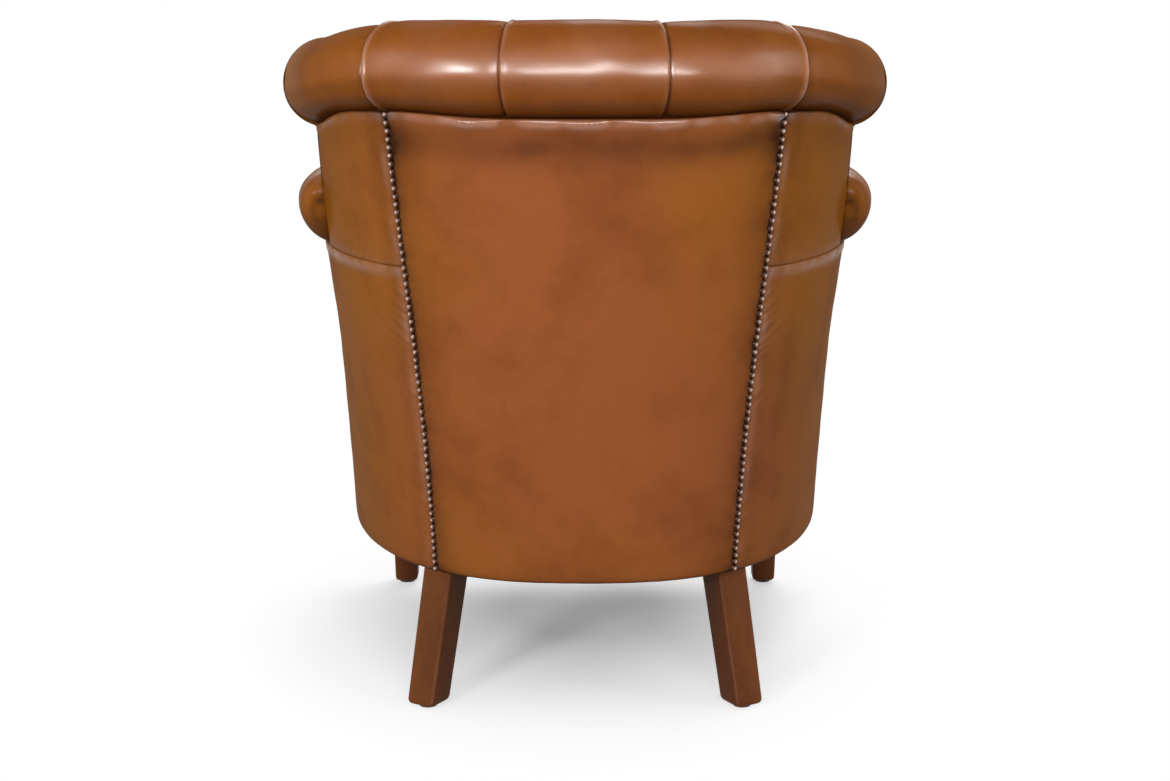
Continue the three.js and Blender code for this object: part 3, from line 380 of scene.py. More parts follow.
def evenly(line: Array, pitch: float, closed: bool) -> Array:
    """Points set at an even pitch along a line.

    Args:
        line: Points of the line, n by any number of axes.
        pitch: Wanted distance between the points.
        closed: Whether the line runs back to its start.

    Returns:
        The points, with the pitch adjusted to fit the line.
    """
    whole = np.concatenate([line, line[:1]]) if closed else line
    walked = np.concatenate([[0], np.cumsum(np.linalg.norm(np.diff(whole, axis=0), axis=1))])
    count = max(2, round(walked[-1] / pitch))
    wanted = np.linspace(0, walked[-1], count + 1)
    if closed:
        wanted = wanted[:-1]
    return np.stack([np.interp(wanted, walked, whole[:, k]) for k in range(line.shape[1])], 1)


def put(name: str, data: bpy.types.ID) -> bpy.types.Object:
    """Adds an object to the scene.

    Args:
        name: Its name.
        data: Its mesh, lamp or camera.

    Returns:
        The object.
    """
    made = bpy.data.objects.new(name, data)
    bpy.context.scene.collection.objects.link(made)
    return made


def mesh_of(name: str, form: Form) -> bpy.types.Mesh:
    """Mesh of a form.

    Args:
        name: The mesh's name.
        form: The form.

    Returns:
        The mesh, without the form's marks.
    """
    mesh = bpy.data.meshes.new(name)
    mesh.from_pydata(form.points.tolist(), [], form.quads.tolist() + form.triangles.tolist())
    return mesh


def write_marks(mesh: bpy.types.Mesh, fold: Array, rub: Array) -> None:
    """Gives a mesh its marks.

    Args:
        mesh: The mesh.
        fold: Fold mark of each point.
        rub: Rub mark of each point.
    """
    for mark, values in ((Mark.FOLD, fold), (Mark.RUB, rub)):
        layer = mesh.attributes.new(mark.value, "FLOAT", "POINT")
        layer.data.foreach_set("value", values.astype(np.float32))


@dataclass(frozen=True)
class Tub:
    """Outside of the chair's body, the surface that every panel lies on."""

    shift: float
    base_height: float = 0.175
    crease_height: float = 0.794
    waist_half_width: float = 0.352
    waist_height: float = 0.34
    shoulder_half_width: float = 0.379
    shoulder_height: float = 0.78
    rear_at_base: float = 0.303
    rear_at_crease: float = 0.4395
    bow_at_base: float = 0.565
    bow_at_crease: float = 0.479
    front_of_arms: float = 0.345
    squareness: float = 2.5
    wing_station: float = 0.6111
    nail_base_station: float = 0.24
    nail_top_station: float = 0.3415
    nail_curve: float = 1.28
    station_gap: float = 0.001

    def outline(self, height: Array) -> tuple[Array, Array, Array]:
        """Plan of the outside at heights.

        Args:
            height: Heights above the floor.

        Returns:
            The half-width, the rear and the bow there.
        """
        level = np.minimum(height, self.crease_height)
        rise = (level - self.base_height) / (self.crease_height - self.base_height)
        flare = ease((level - self.waist_height) / (self.shoulder_height - self.waist_height))
        half = mix(self.waist_half_width, self.shoulder_half_width, flare)
        rear = mix(self.rear_at_base, self.rear_at_crease, rise)
        return half, rear, mix(self.bow_at_base, self.bow_at_crease, rise)

    def point(self, station: Array, height: Array, inset: Array) -> Array:
        """Points of the tub.

        Args:
            station: Quarter turns from the middle of the back, 2 at the front of the arms.
            height: Height above the floor.
            inset: Depth inside the outside surface.

        Returns:
            The points, with X, Y and Z on the last axis.
        """
        station, height, inset = np.broadcast_arrays(
            np.asarray(station, float), np.asarray(height, float), np.asarray(inset, float)
        )
        half, rear, bow = self.outline(height)
        turn = np.minimum(np.abs(station), 1) * QUARTER_TURN
        across = np.sin(turn) / (half - inset)
        along = np.maximum(np.cos(turn), 0) / (bow - inset)
        reach = (across**self.squareness + along**self.squareness) ** (-1 / self.squareness)
        forward = np.maximum(np.abs(station) - 1, 0)
        bent = rear - bow + reach * np.cos(turn)
        straight = mix(rear - bow, -self.front_of_arms, forward)
        y = np.where(forward > 0, straight, bent) + self.shift
        return np.stack([np.sign(station) * reach * np.sin(turn), y, height], axis=-1)

    def outward(self, station: float, height: float, inset: float) -> Array:
        """Direction out of the tub at a point, square to its surface.

        Args:
            station: The point's station.
            height: The point's height.
            inset: The point's depth.

        Returns:
            A direction of length 1.
        """
        step = 0.002
        ahead = self.point(station + step, height, inset) - self.point(station - step, height, inset)
        rise = self.point(station, height + step, inset) - self.point(station, height - step, inset)
        way = np.cross(ahead, rise)
        way /= np.linalg.norm(way)
        out = self.point(station, height, inset - step) - self.point(station, height, inset)
        return way if way @ out > 0 else -way

    @property
    def wall_length(self) -> float:
        """Length along the wall of one station, near the waist."""
        return self.waist_half_width * QUARTER_TURN

    def nail_station(self, height: Array) -> Array:
        """Station of the nail line at heights."""
        rise = np.clip((height - self.base_height) / (self.crease_height - self.base_height), 0, 1)
        return mix(self.nail_base_station, self.nail_top_station, rise**self.nail_curve)

    def station_step(self, length: float) -> float:
        """A length along the wall as a step in station."""
        return length / self.wall_length


@dataclass(frozen=True)
class Padding:
    """Depth of the padding and the rolls that end it."""

    tub: Tub
    roll_radius: float = 0.058
    roll_inset: float = 0.016
    roll_height: float = 0.845
    roll_end_drop: float = 0.024
    roll_drop_start: float = 0.3
    crease_angle: float = math.radians(254)
    crease_rise: float = 0.0063
    corner_rise: float = 0.009
    arm_radius: float = 0.052
    arm_inset_of_roll: float = 0.022
    arm_height: float = 0.65
    arm_crease_angle: float = math.radians(245)
    arm_front_drop: float = 0.014
    lumbar_inset: float = 0.15
    lumbar_height: float = 0.48
    arm_pad_inset: float = 0.094
    arm_pad_height: float = 0.47

    def roll_centre(self, station: Array) -> Array:
        """Height of the top roll's middle at stations."""
        start, end = self.roll_drop_start, self.tub.wing_station
        return self.roll_height - self.roll_end_drop * ease((np.abs(station) - start) / (end - start))

    def arm_centre(self, station: Array) -> Array:
        """Height of the arm roll's middle.

        Args:
            station: Stations along the arm.

        Returns:
            The height at each.
        """
        start = self.tub.wing_station
        fall = np.clip((np.abs(station) - start) / (2 - start), 0, 1)
        return self.arm_height - self.arm_front_drop * fall

    def roll_crease(self, station: Array) -> Array:
        """Height of the outside crease under the top roll."""
        return self.roll_centre(station) - math.sqrt(self.roll_radius**2 - self.roll_inset**2)

    def rise(self, station: Array) -> Array:
        """How far the drawn leather lifts the crease of the top roll.

        Args:
            station: Stations along the roll.

        Returns:
            The lift, most beside the nail lines and behind the wings' corners.
        """
        off = np.abs(station)
        drawn = self.crease_rise * ease((off - 0.12) / 0.22) * (1 - 0.45 * ease((off - 0.36) / 0.25))
        return drawn + self.corner_rise * bell(off - 0.48, 0.085)

    def tuck(self, station: Array, crease: Array, depth: float) -> Array:
        """Rows of a rolled skin that run on from its crease, down behind the panel below.

        Args:
            station: Stations of the grid lines, columns by 1.
            crease: Height of the crease there.
            depth: Depth under the leather's face.

        Returns:
            The points, columns by 4 by 3.
        """
        face = ((0.0012, -0.0008), (0.0021, -0.002), (0.0024, -0.0045), (0.0024, -0.009))
        back = ((0.0032, 0.0008), (0.0041, -0.001), (0.0043, -0.004), (0.0043, -0.009))
        inset, fall = np.array(back if depth > 0 else face).T
        return self.tub.point(station, crease + fall, inset)

    def arm_crease(self, station: Array) -> Array:
        """Height of the outside crease under the arm roll."""
        return self.arm_centre(station) - math.sqrt(self.arm_radius**2 - self.arm_inset_of_roll**2)

    def wing_inset(self, height: Array) -> Array:
        """Depth of the padding at the end of a wing, flush with the arm's up to the arm roll.

        Args:
            height: Heights above the floor.

        Returns:
            The depth at each.
        """
        centre = self.roll_height - self.roll_end_drop
        share = ease((height - self.arm_height) / (centre - self.arm_height))
        top = self.roll_inset + self.roll_radius
        return mix(self.arm_inset(self.tub.wing_station, height), top, share)

    def back_inset(self, station: Array, height: Array) -> Array:
        """Depth of the back's padding before its buttons.

        Args:
            station: Stations of the points.
            height: Their heights.

        Returns:
            The depth at each.
        """
        top = self.roll_inset + self.roll_radius
        centre = self.roll_centre(station)
        share = ease((centre - height) / (centre - self.lumbar_height))
        to_wing = ease(np.abs(station) / self.tub.wing_station)
        return mix(mix(top, self.lumbar_inset, share), self.wing_inset(height), to_wing)

    def arm_inset(self, station: Array, height: Array) -> Array:
        """Depth of an arm's padding before its buttons.

        Args:
            station: Stations of the points.
            height: Their heights.

        Returns:
            The depth at each.
        """
        centre = self.arm_centre(station)
        share = ease((centre - height) / (centre - self.arm_pad_height))
        return mix(self.arm_inset_of_roll + self.arm_radius, self.arm_pad_inset, share)

    def seat_outline(self, height: float, extra: float, front: float) -> Array:
        """Plan of the room for the seat, so far clear of the arms and back.

        Args:
            height: Height of the plan.
            extra: Clearance from the padding.
            front: Y of its front edge.

        Returns:
            Points from the right front corner round the back to the left one, n by 2.
        """
        bend = np.linspace(-1, 1, 81)
        station = np.concatenate([np.linspace(-2, -1, 24)[:-1], bend, np.linspace(1, 2, 24)[1:]])
        beyond = np.abs(station) > self.tub.wing_station
        arm = self.arm_inset(station, height)
        depth = np.where(beyond, arm, self.back_inset(station, height))
        points = self.tub.point(station, height, depth + extra)[:, :2]
        straight = np.abs(station) >= 1
        side_y = points[straight, 1]
        low, high = side_y.min(), side_y.max()
        points[straight, 1] = front + (side_y - low) * (high - front) / (high - low)
        return points


@dataclass(frozen=True)
class Tufts:
    """Deep buttoning on a lattice of diamonds with folded pleats between its buttons."""

    column_pitch: float
    row_pitch: float
    puff: float = 0.017
    fullness: float = 0.36
    level: float = 0.62
    dip: float = 0.013
    reach: float = 0.017
    groove: float = 0.0022
    groove_width: float = 0.0024
    lip: float = 0.0016
    lip_width: float = 0.005
    crack: float = 0.0017
    crack_width: float = 0.0022
    crack_lip: float = 0.0012
    cell_shares: tuple[float, ...] = (
        0.007, 0.016, 0.028, 0.044, 0.066, 0.1, 0.15, 0.215, 0.295, 0.39, 0.5
    )

    def cell_steps(self) -> Array:
        """Shares of one lattice cell, close together beside its pleats."""
        half = np.array(self.cell_shares)
        return np.concatenate([half, 1 - half[-2::-1], [1.0]])

    def lines(self, start: float, end: float) -> Array:
        """Grid lines of the cells.

        Args:
            start: First whole column or row.
            end: Last whole column or row.

        Returns:
            The lines, close together beside the pleats.
        """
        cells = [np.array([start])]
        cells += [k + self.cell_steps() for k in np.arange(start, end)]
        return np.concatenate(cells)

    def diamonds(self, column: Array, row: Array) -> tuple[Array, Array]:
        """Height and fold of the diamonds.

        Args:
            column: Lattice columns, with buttons where column and row add up to even.
            row: Lattice rows.

        Returns:
            The height off the plain form, and the fold mark.
        """
        slope = 1 / math.hypot(1 / self.column_pitch, 1 / self.row_pitch)
        both = np.ones(np.broadcast(column, row).shape)
        groove, lip = np.zeros_like(both), np.zeros_like(both)
        for total in (row + column, row - column):
            both = both * np.abs(np.sin(QUARTER_TURN * total))
            off = (total - 2 * np.round(total / 2)) * slope
            groove = np.maximum(groove, bell(off, self.groove_width))
            lip = np.maximum(lip, bell(off - self.lip_width, self.lip_width))
        button = self.button_share(column, row)
        pillow = self.puff * (np.sqrt(both) ** (2 * self.fullness) - self.level)
        height = pillow - self.dip * button - (self.groove * groove - self.lip * lip) * (1 - button)
        # the fold mark paints shade in the grooves and the button dimples
        return height, np.clip(0.75 * groove + 1.1 * button, 0, 1)

    def button_share(self, column: Array, row: Array) -> Array:
        """How near the closest button is.

        Args:
            column: Lattice columns.
            row: Lattice rows.

        Returns:
            1 at a button and 0 a little way off.
        """
        near_row = np.round(row)
        odd = np.mod(near_row, 2)
        near_column = 2 * np.round((column - odd) / 2) + odd
        away = np.hypot((column - near_column) * self.column_pitch, (row - near_row) * self.row_pitch)
        return bell(away, self.reach)

    def pleats(
        self, column: Array, first: int, soft: float = 0.004, pitch: Array | None = None
    ) -> tuple[Array, Array, Array]:
        """Height and marks of straight pleats, each laid over towards the middle of the piece.

        Args:
            column: Lattice columns.
            first: 0 where the pleats are on even columns, 1 on odd ones.
            soft: Depth of the hollow beside each pleat.
            pitch: Distance between columns where the pleats run, or None for the lattice's own.

        Returns:
            The height off the plain form, 0 between the pleats, and the fold and rub marks.
        """
        line = 2 * np.round((column - first) / 2) + first
        off = (line - column) * np.where(line < 0, -1, 1) * (self.column_pitch if pitch is None else pitch)
        bold = np.where(np.abs(line) > 2, 1.0, 0.0)
        groove = bell(off, self.crack_width)
        hollow = np.exp(-np.abs(off) / 0.012) * np.where(off < 0, 1.0, 0.3)
        lip = bell(off - 1.7 * self.crack_width, self.crack_width * (1.2 + 0.5 * bold))
        height = (1 + 1.3 * bold) * self.crack_lip * lip - (1 + bold) * soft * hollow
        # painted shade in each groove and hollow, and wear with a painted highlight on each lip
        fold = (0.56 - 0.1 * bold) * groove + (0.24 + 0.18 * bold) * hollow * (1 - lip)
        return height - self.crack * groove, np.clip(fold, 0, 1), (0.2 + 0.4 * bold) * lip


@dataclass(frozen=True)
class Value:
    """A socket of a material's nodes; sums on it add Math nodes."""

    graph: "Graph"
    socket: bpy.types.NodeSocket

    def math(self, operation: str, first: "Value | float", second: "Value | float") -> "Value":
        """Result of one Math node."""
        made = self.graph.node("ShaderNodeMath", {"operation": operation}, {0: first, 1: second})
        return Value(self.graph, made.outputs[0])

    def __add__(self, other: "Value | float") -> "Value":
        """Sum."""
        return self.math("ADD", self, other)

    __radd__ = __add__

    def __sub__(self, other: "Value | float") -> "Value":
        """Difference."""
        return self.math("SUBTRACT", self, other)

    def __rsub__(self, other: float) -> "Value":
        """Difference from a number."""
        return self.math("SUBTRACT", other, self)

    def __mul__(self, other: "Value | float") -> "Value":
        """Product."""
        return self.math("MULTIPLY", self, other)

    __rmul__ = __mul__

    def __pow__(self, other: float) -> "Value":
        """Power."""
        return self.math("POWER", self, other)

    def held(self) -> "Value":
        """The value kept between 0 and 1."""
        made = self.graph.node("ShaderNodeClamp", inputs={"Value": self})
        return Value(self.graph, made.outputs[0])


class Graph:
    """Nodes of one material or of the world."""

    def __init__(self, owner: bpy.types.Material | bpy.types.World) -> None:
        """Empties the nodes.

        Args:
            owner: The material or world that they belong to.
        """
        owner.use_nodes = True
        self.owner = owner
        self.tree = owner.node_tree
        self.tree.nodes.clear()

    @classmethod
    def of_material(cls, name: str) -> "Graph":
        """Nodes of a new material of that name."""
        return cls(bpy.data.materials.new(name))

    def node(
        self,
        kind: str,
        settings: dict[str, object] | None = None,
        inputs: dict[str | int, object] | None = None,
    ) -> bpy.types.Node:
        """Adds a node.

        Args:
            kind: Blender's type name of the node.
            settings: Its properties.
            inputs: Values or links of its sockets, by name or number.

        Returns:
            The node.
        """
        made = self.tree.nodes.new(kind)
        for name, value in (settings or {}).items():
            setattr(made, name, value)
        for key, value in (inputs or {}).items():
            if isinstance(value, Value):
                self.tree.links.new(value.socket, made.inputs[key])
            else:
                made.inputs[key].default_value = value
        return made

    def output(self, made: bpy.types.Node, key: str | int = 0) -> Value:
        """An output of a node, ready for sums."""
        return Value(self, made.outputs[key])

    def place(self, scale: tuple[float, float, float] = (1, 1, 1)) -> Value:
        """Place on the piece itself.

        Args:
            scale: Scale along each axis.

        Returns:
            The scaled place.
        """
        where = self.output(self.node("ShaderNodeTexCoord"), "Object")
        settings = {"operation": "MULTIPLY"}
        return self.output(self.node("ShaderNodeVectorMath", settings, {0: where, 1: scale}))

    def across(self) -> Value:
        """Place on the piece along X."""
        return self.output(self.node("ShaderNodeSeparateXYZ", inputs={0: self.place()}), "X")

    def noise(
        self, scale: float, detail: float = 3.0, roughness: float = 0.5, at: Value | None = None
    ) -> Value:
        """Smooth noise from 0 to 1, by patches a metre, finer layers and their strength."""
        inputs = {"Vector": at or self.place(), "Scale": scale, "Detail": detail, "Roughness": roughness}
        return self.output(self.node("ShaderNodeTexNoise", inputs=inputs), "Fac")

    def cells(self, scale: float) -> Value:
        """Distance from the middles of random cells, for grain."""
        inputs = {"Vector": self.place(), "Scale": scale}
        return self.output(self.node("ShaderNodeTexVoronoi", inputs=inputs), "Distance")

    def mark(self, mark: Mark) -> Value:
        """A mark that the mesh carries."""
        made = self.node("ShaderNodeAttribute", {"attribute_name": mark.value})
        return self.output(made, "Fac")

    def blend(self, start: Value | Colour, end: Value | Colour, share: Value | float) -> Value:
        """Colour that lies the given share of the way from start to end."""
        settings = {"data_type": "RGBA"}
        return self.output(self.node("ShaderNodeMix", settings, {0: share, 6: start, 7: end}), 2)

    def bump(self, height: Value, depth: float, strength: float) -> Value:
        """Normals of a fine relief of that depth."""
        inputs = {"Height": height, "Distance": depth, "Strength": strength}
        return self.output(self.node("ShaderNodeBump", inputs=inputs))

    def ray(self, *kinds: str) -> Value:
        """Picks out rays of some kinds.

        Args:
            kinds: The kinds, as Light Path names them.

        Returns:
            1 for rays of any of these kinds and 0 for others.
        """
        path = self.node("ShaderNodeLightPath")
        total = self.output(path, f"Is {kinds[0]} Ray")
        for kind in kinds[1:]:
            total = total + self.output(path, f"Is {kind} Ray")
        return total.held()

    def shader(self, kind: str, inputs: dict[str | int, object]) -> Value:
        """A shader node of that kind."""
        return self.output(self.node(f"ShaderNode{kind}", inputs=inputs))

    def end(self, shader: Value) -> bpy.types.Material | bpy.types.World:
        """Ends the nodes in a shader.

        Args:
            shader: The shader.

        Returns:
            The material or world that the nodes belong to.
        """
        kind = "World" if isinstance(self.owner, bpy.types.World) else "Material"
        self.node(f"ShaderNodeOutput{kind}", inputs={"Surface": shader})
        return self.owner

    def surface(self, inputs: dict[str, object]) -> bpy.types.Material:
        """Ends the material in one shader with these values and links."""
        return self.end(self.shader("BsdfPrincipled", inputs))


@dataclass(frozen=True)
class DyedLeather:
    """Hand-dyed glossy leather, with painted shade in its folds and hollows, and paler wear and painted
    highlights on its ridges and where the lamps reflect.
    """

    name: str
    main: Colour = linear(155, 87, 46)
    ochre: Colour = linear(152, 90, 22)
    deep: Colour = linear(100, 46, 14)
    pale: Colour = linear(172, 98, 40)
    # colour of the painted shade
    folded: Colour = linear(42, 17, 8)
    # paler colour of wear and of painted highlights
    rubbed: Colour = linear(200, 132, 98)
    ochre_share: float = 0.3
    roughness: float = 0.44
    gloss: float = 0.19
    polish: float = 1.9
    gloss_roughness: float = 0.22

    def material(self) -> bpy.types.Material:
        """Builds the leather's nodes.

        Returns:
            The finished material.
        """
        graph = Graph.of_material(self.name)
        patches = graph.noise(3.1, 2.0, 0.45)
        clouds = graph.noise(9.0, 5.0, 0.62)
        specks = graph.noise(60.0, 5.0, 0.65)
        fold, rub = graph.mark(Mark.FOLD), graph.mark(Mark.RUB)
        aside = graph.across()
        ochre = (aside * aside * (18.0 * self.ochre_share) + (patches - 0.52) * 2.2).held() * 0.8
        colour = graph.blend(self.main, self.ochre, ochre)
        colour = graph.blend(colour, self.deep, ((clouds - 0.46) * 2.8).held() * 0.55)
        colour = graph.blend(colour, self.pale, ((specks - 0.5) * 2.2).held() * 0.28)
        # wear and painted highlights where the rub mark lies
        colour = graph.blend(colour, self.rubbed, (rub * 0.5).held())
        # painted shade where the fold mark lies
        colour = graph.blend(colour, self.folded, (fold**1.3 * 0.9).held())
        pores = graph.cells(520.0) * 0.7 + graph.noise(260.0, 3.0, 0.6) * 0.6
        creases = graph.noise(34.0, 6.0, 0.7)
        relief = pores * 0.35 + creases
        rough = (clouds - 0.5) * 0.22 + (fold * 0.3 + self.roughness)
        return graph.surface({
            "Base Color": colour,
            "Roughness": rough.held(),
            "Specular IOR Level": 0.0,
            "Coat Weight": (rub * self.polish + self.gloss).held(),
            "Coat Roughness": self.gloss_roughness,
            "Coat IOR": 1.7,
            "Normal": graph.bump(relief, 0.0011, 0.5),
        })


@dataclass(frozen=True)
class StainedWood:
    """Wood with its grain along Z, stained and varnished or left plain."""

    name: str
    early: Colour
    late: Colour
    worn: Colour
    roughness: float
    varnish: float
    # colour of the painted shade under the seat, on the legs' inner faces
    grime: Colour = linear(46, 22, 12)

    def material(self) -> bpy.types.Material:
        """Builds the wood's nodes.

        Returns:
            The finished material.
        """
        graph = Graph.of_material(self.name)
        fibres = graph.noise(1.0, 6.0, 0.66, graph.place((150.0, 150.0, 7.0)))
        rings = graph.noise(1.0, 2.0, 0.5, graph.place((26.0, 26.0, 2.2)))
        clouds = graph.noise(16.0, 3.0, 0.5)
        colour = graph.blend(self.early, self.late, ((rings * 0.7 + fibres * 0.6 - 0.45) * 1.7).held())
        colour = graph.blend(colour, self.worn, (clouds - 0.5).held() * 0.5)
        # paler wood for wear and a painted highlight on the corners
        colour = graph.blend(colour, self.worn, graph.mark(Mark.RUB) * 0.45)
        # painted shade where the fold mark lies
        colour = graph.blend(colour, self.grime, graph.mark(Mark.FOLD))
        return graph.surface({
            "Base Color": colour,
            "Roughness": (fibres * 0.14 + (self.roughness - 0.06)).held(),
            "Specular IOR Level": 0.06,
            "Coat Weight": self.varnish,
            "Coat Roughness": 0.25,
            "Normal": graph.bump(fibres, 0.0004, 0.25),
        })


@dataclass(frozen=True)
class AntiqueBrass:
    """Brass nail heads, their crowns bright from wear and a painted highlight, their rims dark from patina
    and painted shade.
    """

    name: str = "antique_brass"
    crown: Colour = linear(230, 194, 174)
    rim: Colour = linear(58, 38, 30)

    def material(self) -> bpy.types.Material:
        """Builds the brass's nodes.

        Returns:
            The finished material.
        """
        graph = Graph.of_material(self.name)
        stain = graph.noise(320.0, 4.0, 0.6)
        # bright crown: wear and a painted highlight; dark rim: patina and painted shade
        bright = (graph.mark(Mark.RUB) ** 1.5 - (stain - 0.5) * 0.35).held()
        return graph.surface({
            "Base Color": graph.blend(self.rim, self.crown, bright),
            "Metallic": 0.9,
            "Roughness": (stain * 0.2 + 0.26).held(),
            "Normal": graph.bump(stain, 0.0002, 0.3),
        })


@dataclass(frozen=True)
class WovenCloth:
    """Plain-woven cloth or webbing, its threads as crossing waves."""

    name: str
    thread: Colour
    gap: Colour
    threads_a_metre: float

    def material(self) -> bpy.types.Material:
        """Builds the cloth's nodes.

        Returns:
            The finished material.
        """
        graph = Graph.of_material(self.name)
        waves = []
        for way in ("X", "Y", "Z"):
            settings = {"wave_type": "BANDS", "bands_direction": way}
            inputs = {"Vector": graph.place(), "Scale": self.threads_a_metre / 3.2, "Distortion": 0.4}
            waves.append(graph.output(graph.node("ShaderNodeTexWave", settings, inputs), "Fac"))
        weave = (waves[0] * waves[1] * 0.5 + waves[2] * 0.5).held()
        lint = graph.noise(90.0, 4.0, 0.7)
        return graph.surface({
            "Base Color": graph.blend(self.gap, self.thread, (weave * 0.7 + lint * 0.4).held()),
            "Roughness": (lint * 0.15 + 0.8).held(),
            "Normal": graph.bump(weave, 0.0006, 0.4),
        })


@dataclass(frozen=True)
class DrawnSteel:
    """Spring wire with a thin film of oil."""

    name: str = "spring_wire"
    bright: Colour = linear(150, 150, 154)
    dull: Colour = linear(78, 74, 70)

    def material(self) -> bpy.types.Material:
        """Builds the wire's nodes.

        Returns:
            The finished material.
        """
        graph = Graph.of_material(self.name)
        film = graph.noise(42.0, 5.0, 0.7)
        return graph.surface({
            "Base Color": graph.blend(self.bright, self.dull, film),
            "Metallic": 1.0,
            "Roughness": (film * 0.3 + 0.2).held(),
        })


@dataclass(frozen=True)
class MouldedNylon:
    """Black nylon, a little scuffed."""

    name: str = "moulded_nylon"
    clean: Colour = linear(30, 28, 27)
    scuffed: Colour = linear(78, 74, 70)

    def material(self) -> bpy.types.Material:
        """Builds the nylon's nodes.

        Returns:
            The finished material.
        """
        graph = Graph.of_material(self.name)
        scuffs = graph.noise(240.0, 5.0, 0.75)
        return graph.surface({
            "Base Color": graph.blend(self.clean, self.scuffed, ((scuffs - 0.52) * 3.0).held()),
            "Roughness": (scuffs * 0.3 + 0.4).held(),
            "Normal": graph.bump(scuffs, 0.0003, 0.3),
        })


class Slot(Enum):
    """Material slots of the record, each with its finish."""

    LEATHER = "leather"
    HIDE = "hide"
    WOOD = "wood"
    BEECH = "beech"
    CLOTH = "cloth"
    WEBBING = "webbing"
    STEEL = "steel"
    BRASS = "brass"
    NYLON = "nylon"


class Workshop:
    """Makes the finishes once and turns forms into pieces of the chair."""

    def __init__(self) -> None:
        """Builds every finish."""
        tan, brown = linear(150, 82, 24), linear(157, 95, 22)
        finishes = {
            Slot.LEATHER: DyedLeather(
                "tufted_leather", tan, ochre_share=0.35, gloss=0.08, polish=2.1, gloss_roughness=0.24
            ),
            Slot.HIDE: DyedLeather(
                "panel_leather", ochre=brown, ochre_share=0.65, roughness=0.48, gloss=0.07, polish=1.0
            ),
            Slot.WOOD: StainedWood(
                "stained_legs", linear(120, 67, 32), linear(84, 45, 22), linear(134, 78, 40), 0.46, 0.06
            ),
            Slot.BEECH: StainedWood(
                "plain_beech", linear(205, 168, 122), linear(178, 138, 94), linear(190, 152, 108), 0.65, 0.0
            ),
            Slot.CLOTH: WovenCloth("black_lining", linear(34, 33, 32), linear(12, 12, 12), 900.0),
            Slot.WEBBING: WovenCloth("elastic_webbing", linear(58, 52, 48), linear(20, 18, 17), 500.0),
            Slot.STEEL: DrawnSteel(),
            Slot.BRASS: AntiqueBrass(),
            Slot.NYLON: MouldedNylon(),
        }
        self.materials = {key: finish.material() for key, finish in finishes.items()}

    def piece(
        self,
        name: str,
        form: Form,
        slot: Slot,
        replaces: Sequence[str] = (),
        body: str = "chair",
        fill: float | None = None,
    ) -> None:
        """Turns a form into a piece of the chair.

        Args:
            name: The piece's name.
            form: Its points, faces and marks.
            slot: The record's slot for its finish.
            replaces: CAD nodes that it stands for.
            body: The CAD body that it rides on.
            fill: How full it is where it is padded, or None.
        """
        mesh = mesh_of(name, form)
        write_marks(mesh, form.fold, form.rub)
        self.finish(put(name, mesh), slot, replaces, body, fill)

    def finish(
        self,
        made: bpy.types.Object,
        slot: Slot,
        replaces: Sequence[str],
        body: str,
        fill: float | None,
    ) -> None:
        """Gives an object its finish and its place among the pieces.

        Args:
            made: The object, in place.
            slot: The record's slot for its finish.
            replaces: CAD nodes that it stands for.
            body: The CAD body that it rides on.
            fill: How full it is where it is padded, or None; not used.
        """
        made.data.shade_smooth()
        made.data.set_sharp_from_angle(angle=SHARP_FROM)
        self.paint(made, slot)
        if replaces:
            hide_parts(*replaces)
        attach(made, body)
        LOG.info("%s: %d points, %d faces", made.name, len(made.data.vertices), len(made.data.polygons))

    def paint(self, made: bpy.types.Object, slot: Slot) -> None:
        """Gives an object the material of a slot, in place of any other."""
        made.data.materials.clear()
        made.data.materials.append(self.materials[slot])

    def dress(self, names: Sequence[str], slot: Slot) -> None:
        """Gives CAD nodes their finish.

        Args:
            names: The nodes.
            slot: The slot whose finish they get.
        """
        for name in names:
            self.paint(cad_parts[name], slot)
        LOG.info("dressed %d nodes in %s", len(names), slot.value)


@dataclass(frozen=True)
class CoveredButton:
    """A leather-covered button with its underside in the dimple."""

    radius: float = 0.0115
    sunk: float = 0.004
    edge: float = 0.0022
    crown: float = 0.0058
    steps: int = 24

    def form(self) -> Form:
        """Turns the button.

        Returns:
            The button, with its axis on Z and its rim at 0.
        """
        waist = 0.8 * self.radius
        profile = [
            (0, -self.sunk),
            (waist, -self.sunk),
            (self.radius, 0.0),
            (self.radius * 1.01, self.edge * 0.6),
            (self.radius * 0.94, self.edge * 1.35),
            (self.radius * 0.78, self.crown * 0.78),
            (self.radius * 0.5, self.crown * 0.95),
            (self.radius * 0.22, self.crown * 1.0),
            (0, self.crown * 1.01),
        ]
        made = turned_form(profile, self.steps)
        away = np.hypot(made.points[:, 0], made.points[:, 1])
        # painted shade on the underside in the dimple, and a slightly paler crown of wear and painted
        # highlight
        made.fold = np.clip(1.1 - (made.points[:, 2] + self.sunk) / (self.edge + self.sunk), 0, 1)
        made.rub = 0.14 * ease(1 - away / self.radius) * (made.points[:, 2] > 0)
        return made


@dataclass
class Patch:
    """Grid of points on a skin, columns by rows, with its marks."""

    points: Array
    fold: Array | float
    rub: Array | float = 0.0

    @classmethod
    def sewn(cls, patches: Sequence["Patch"]) -> "Patch":
        """One patch of several whose rows follow each other.

        Args:
            patches: The patches, from the seat upwards.

        Returns:
            The whole patch.
        """
        flats = [np.zeros(patch.points.shape[:2]) for patch in patches]
        return cls(
            np.concatenate([patch.points for patch in patches], axis=1),
            np.concatenate([flat + patch.fold for flat, patch in zip(flats, patches)], axis=1),
            np.concatenate([flat + patch.rub for flat, patch in zip(flats, patches)], axis=1),
        )


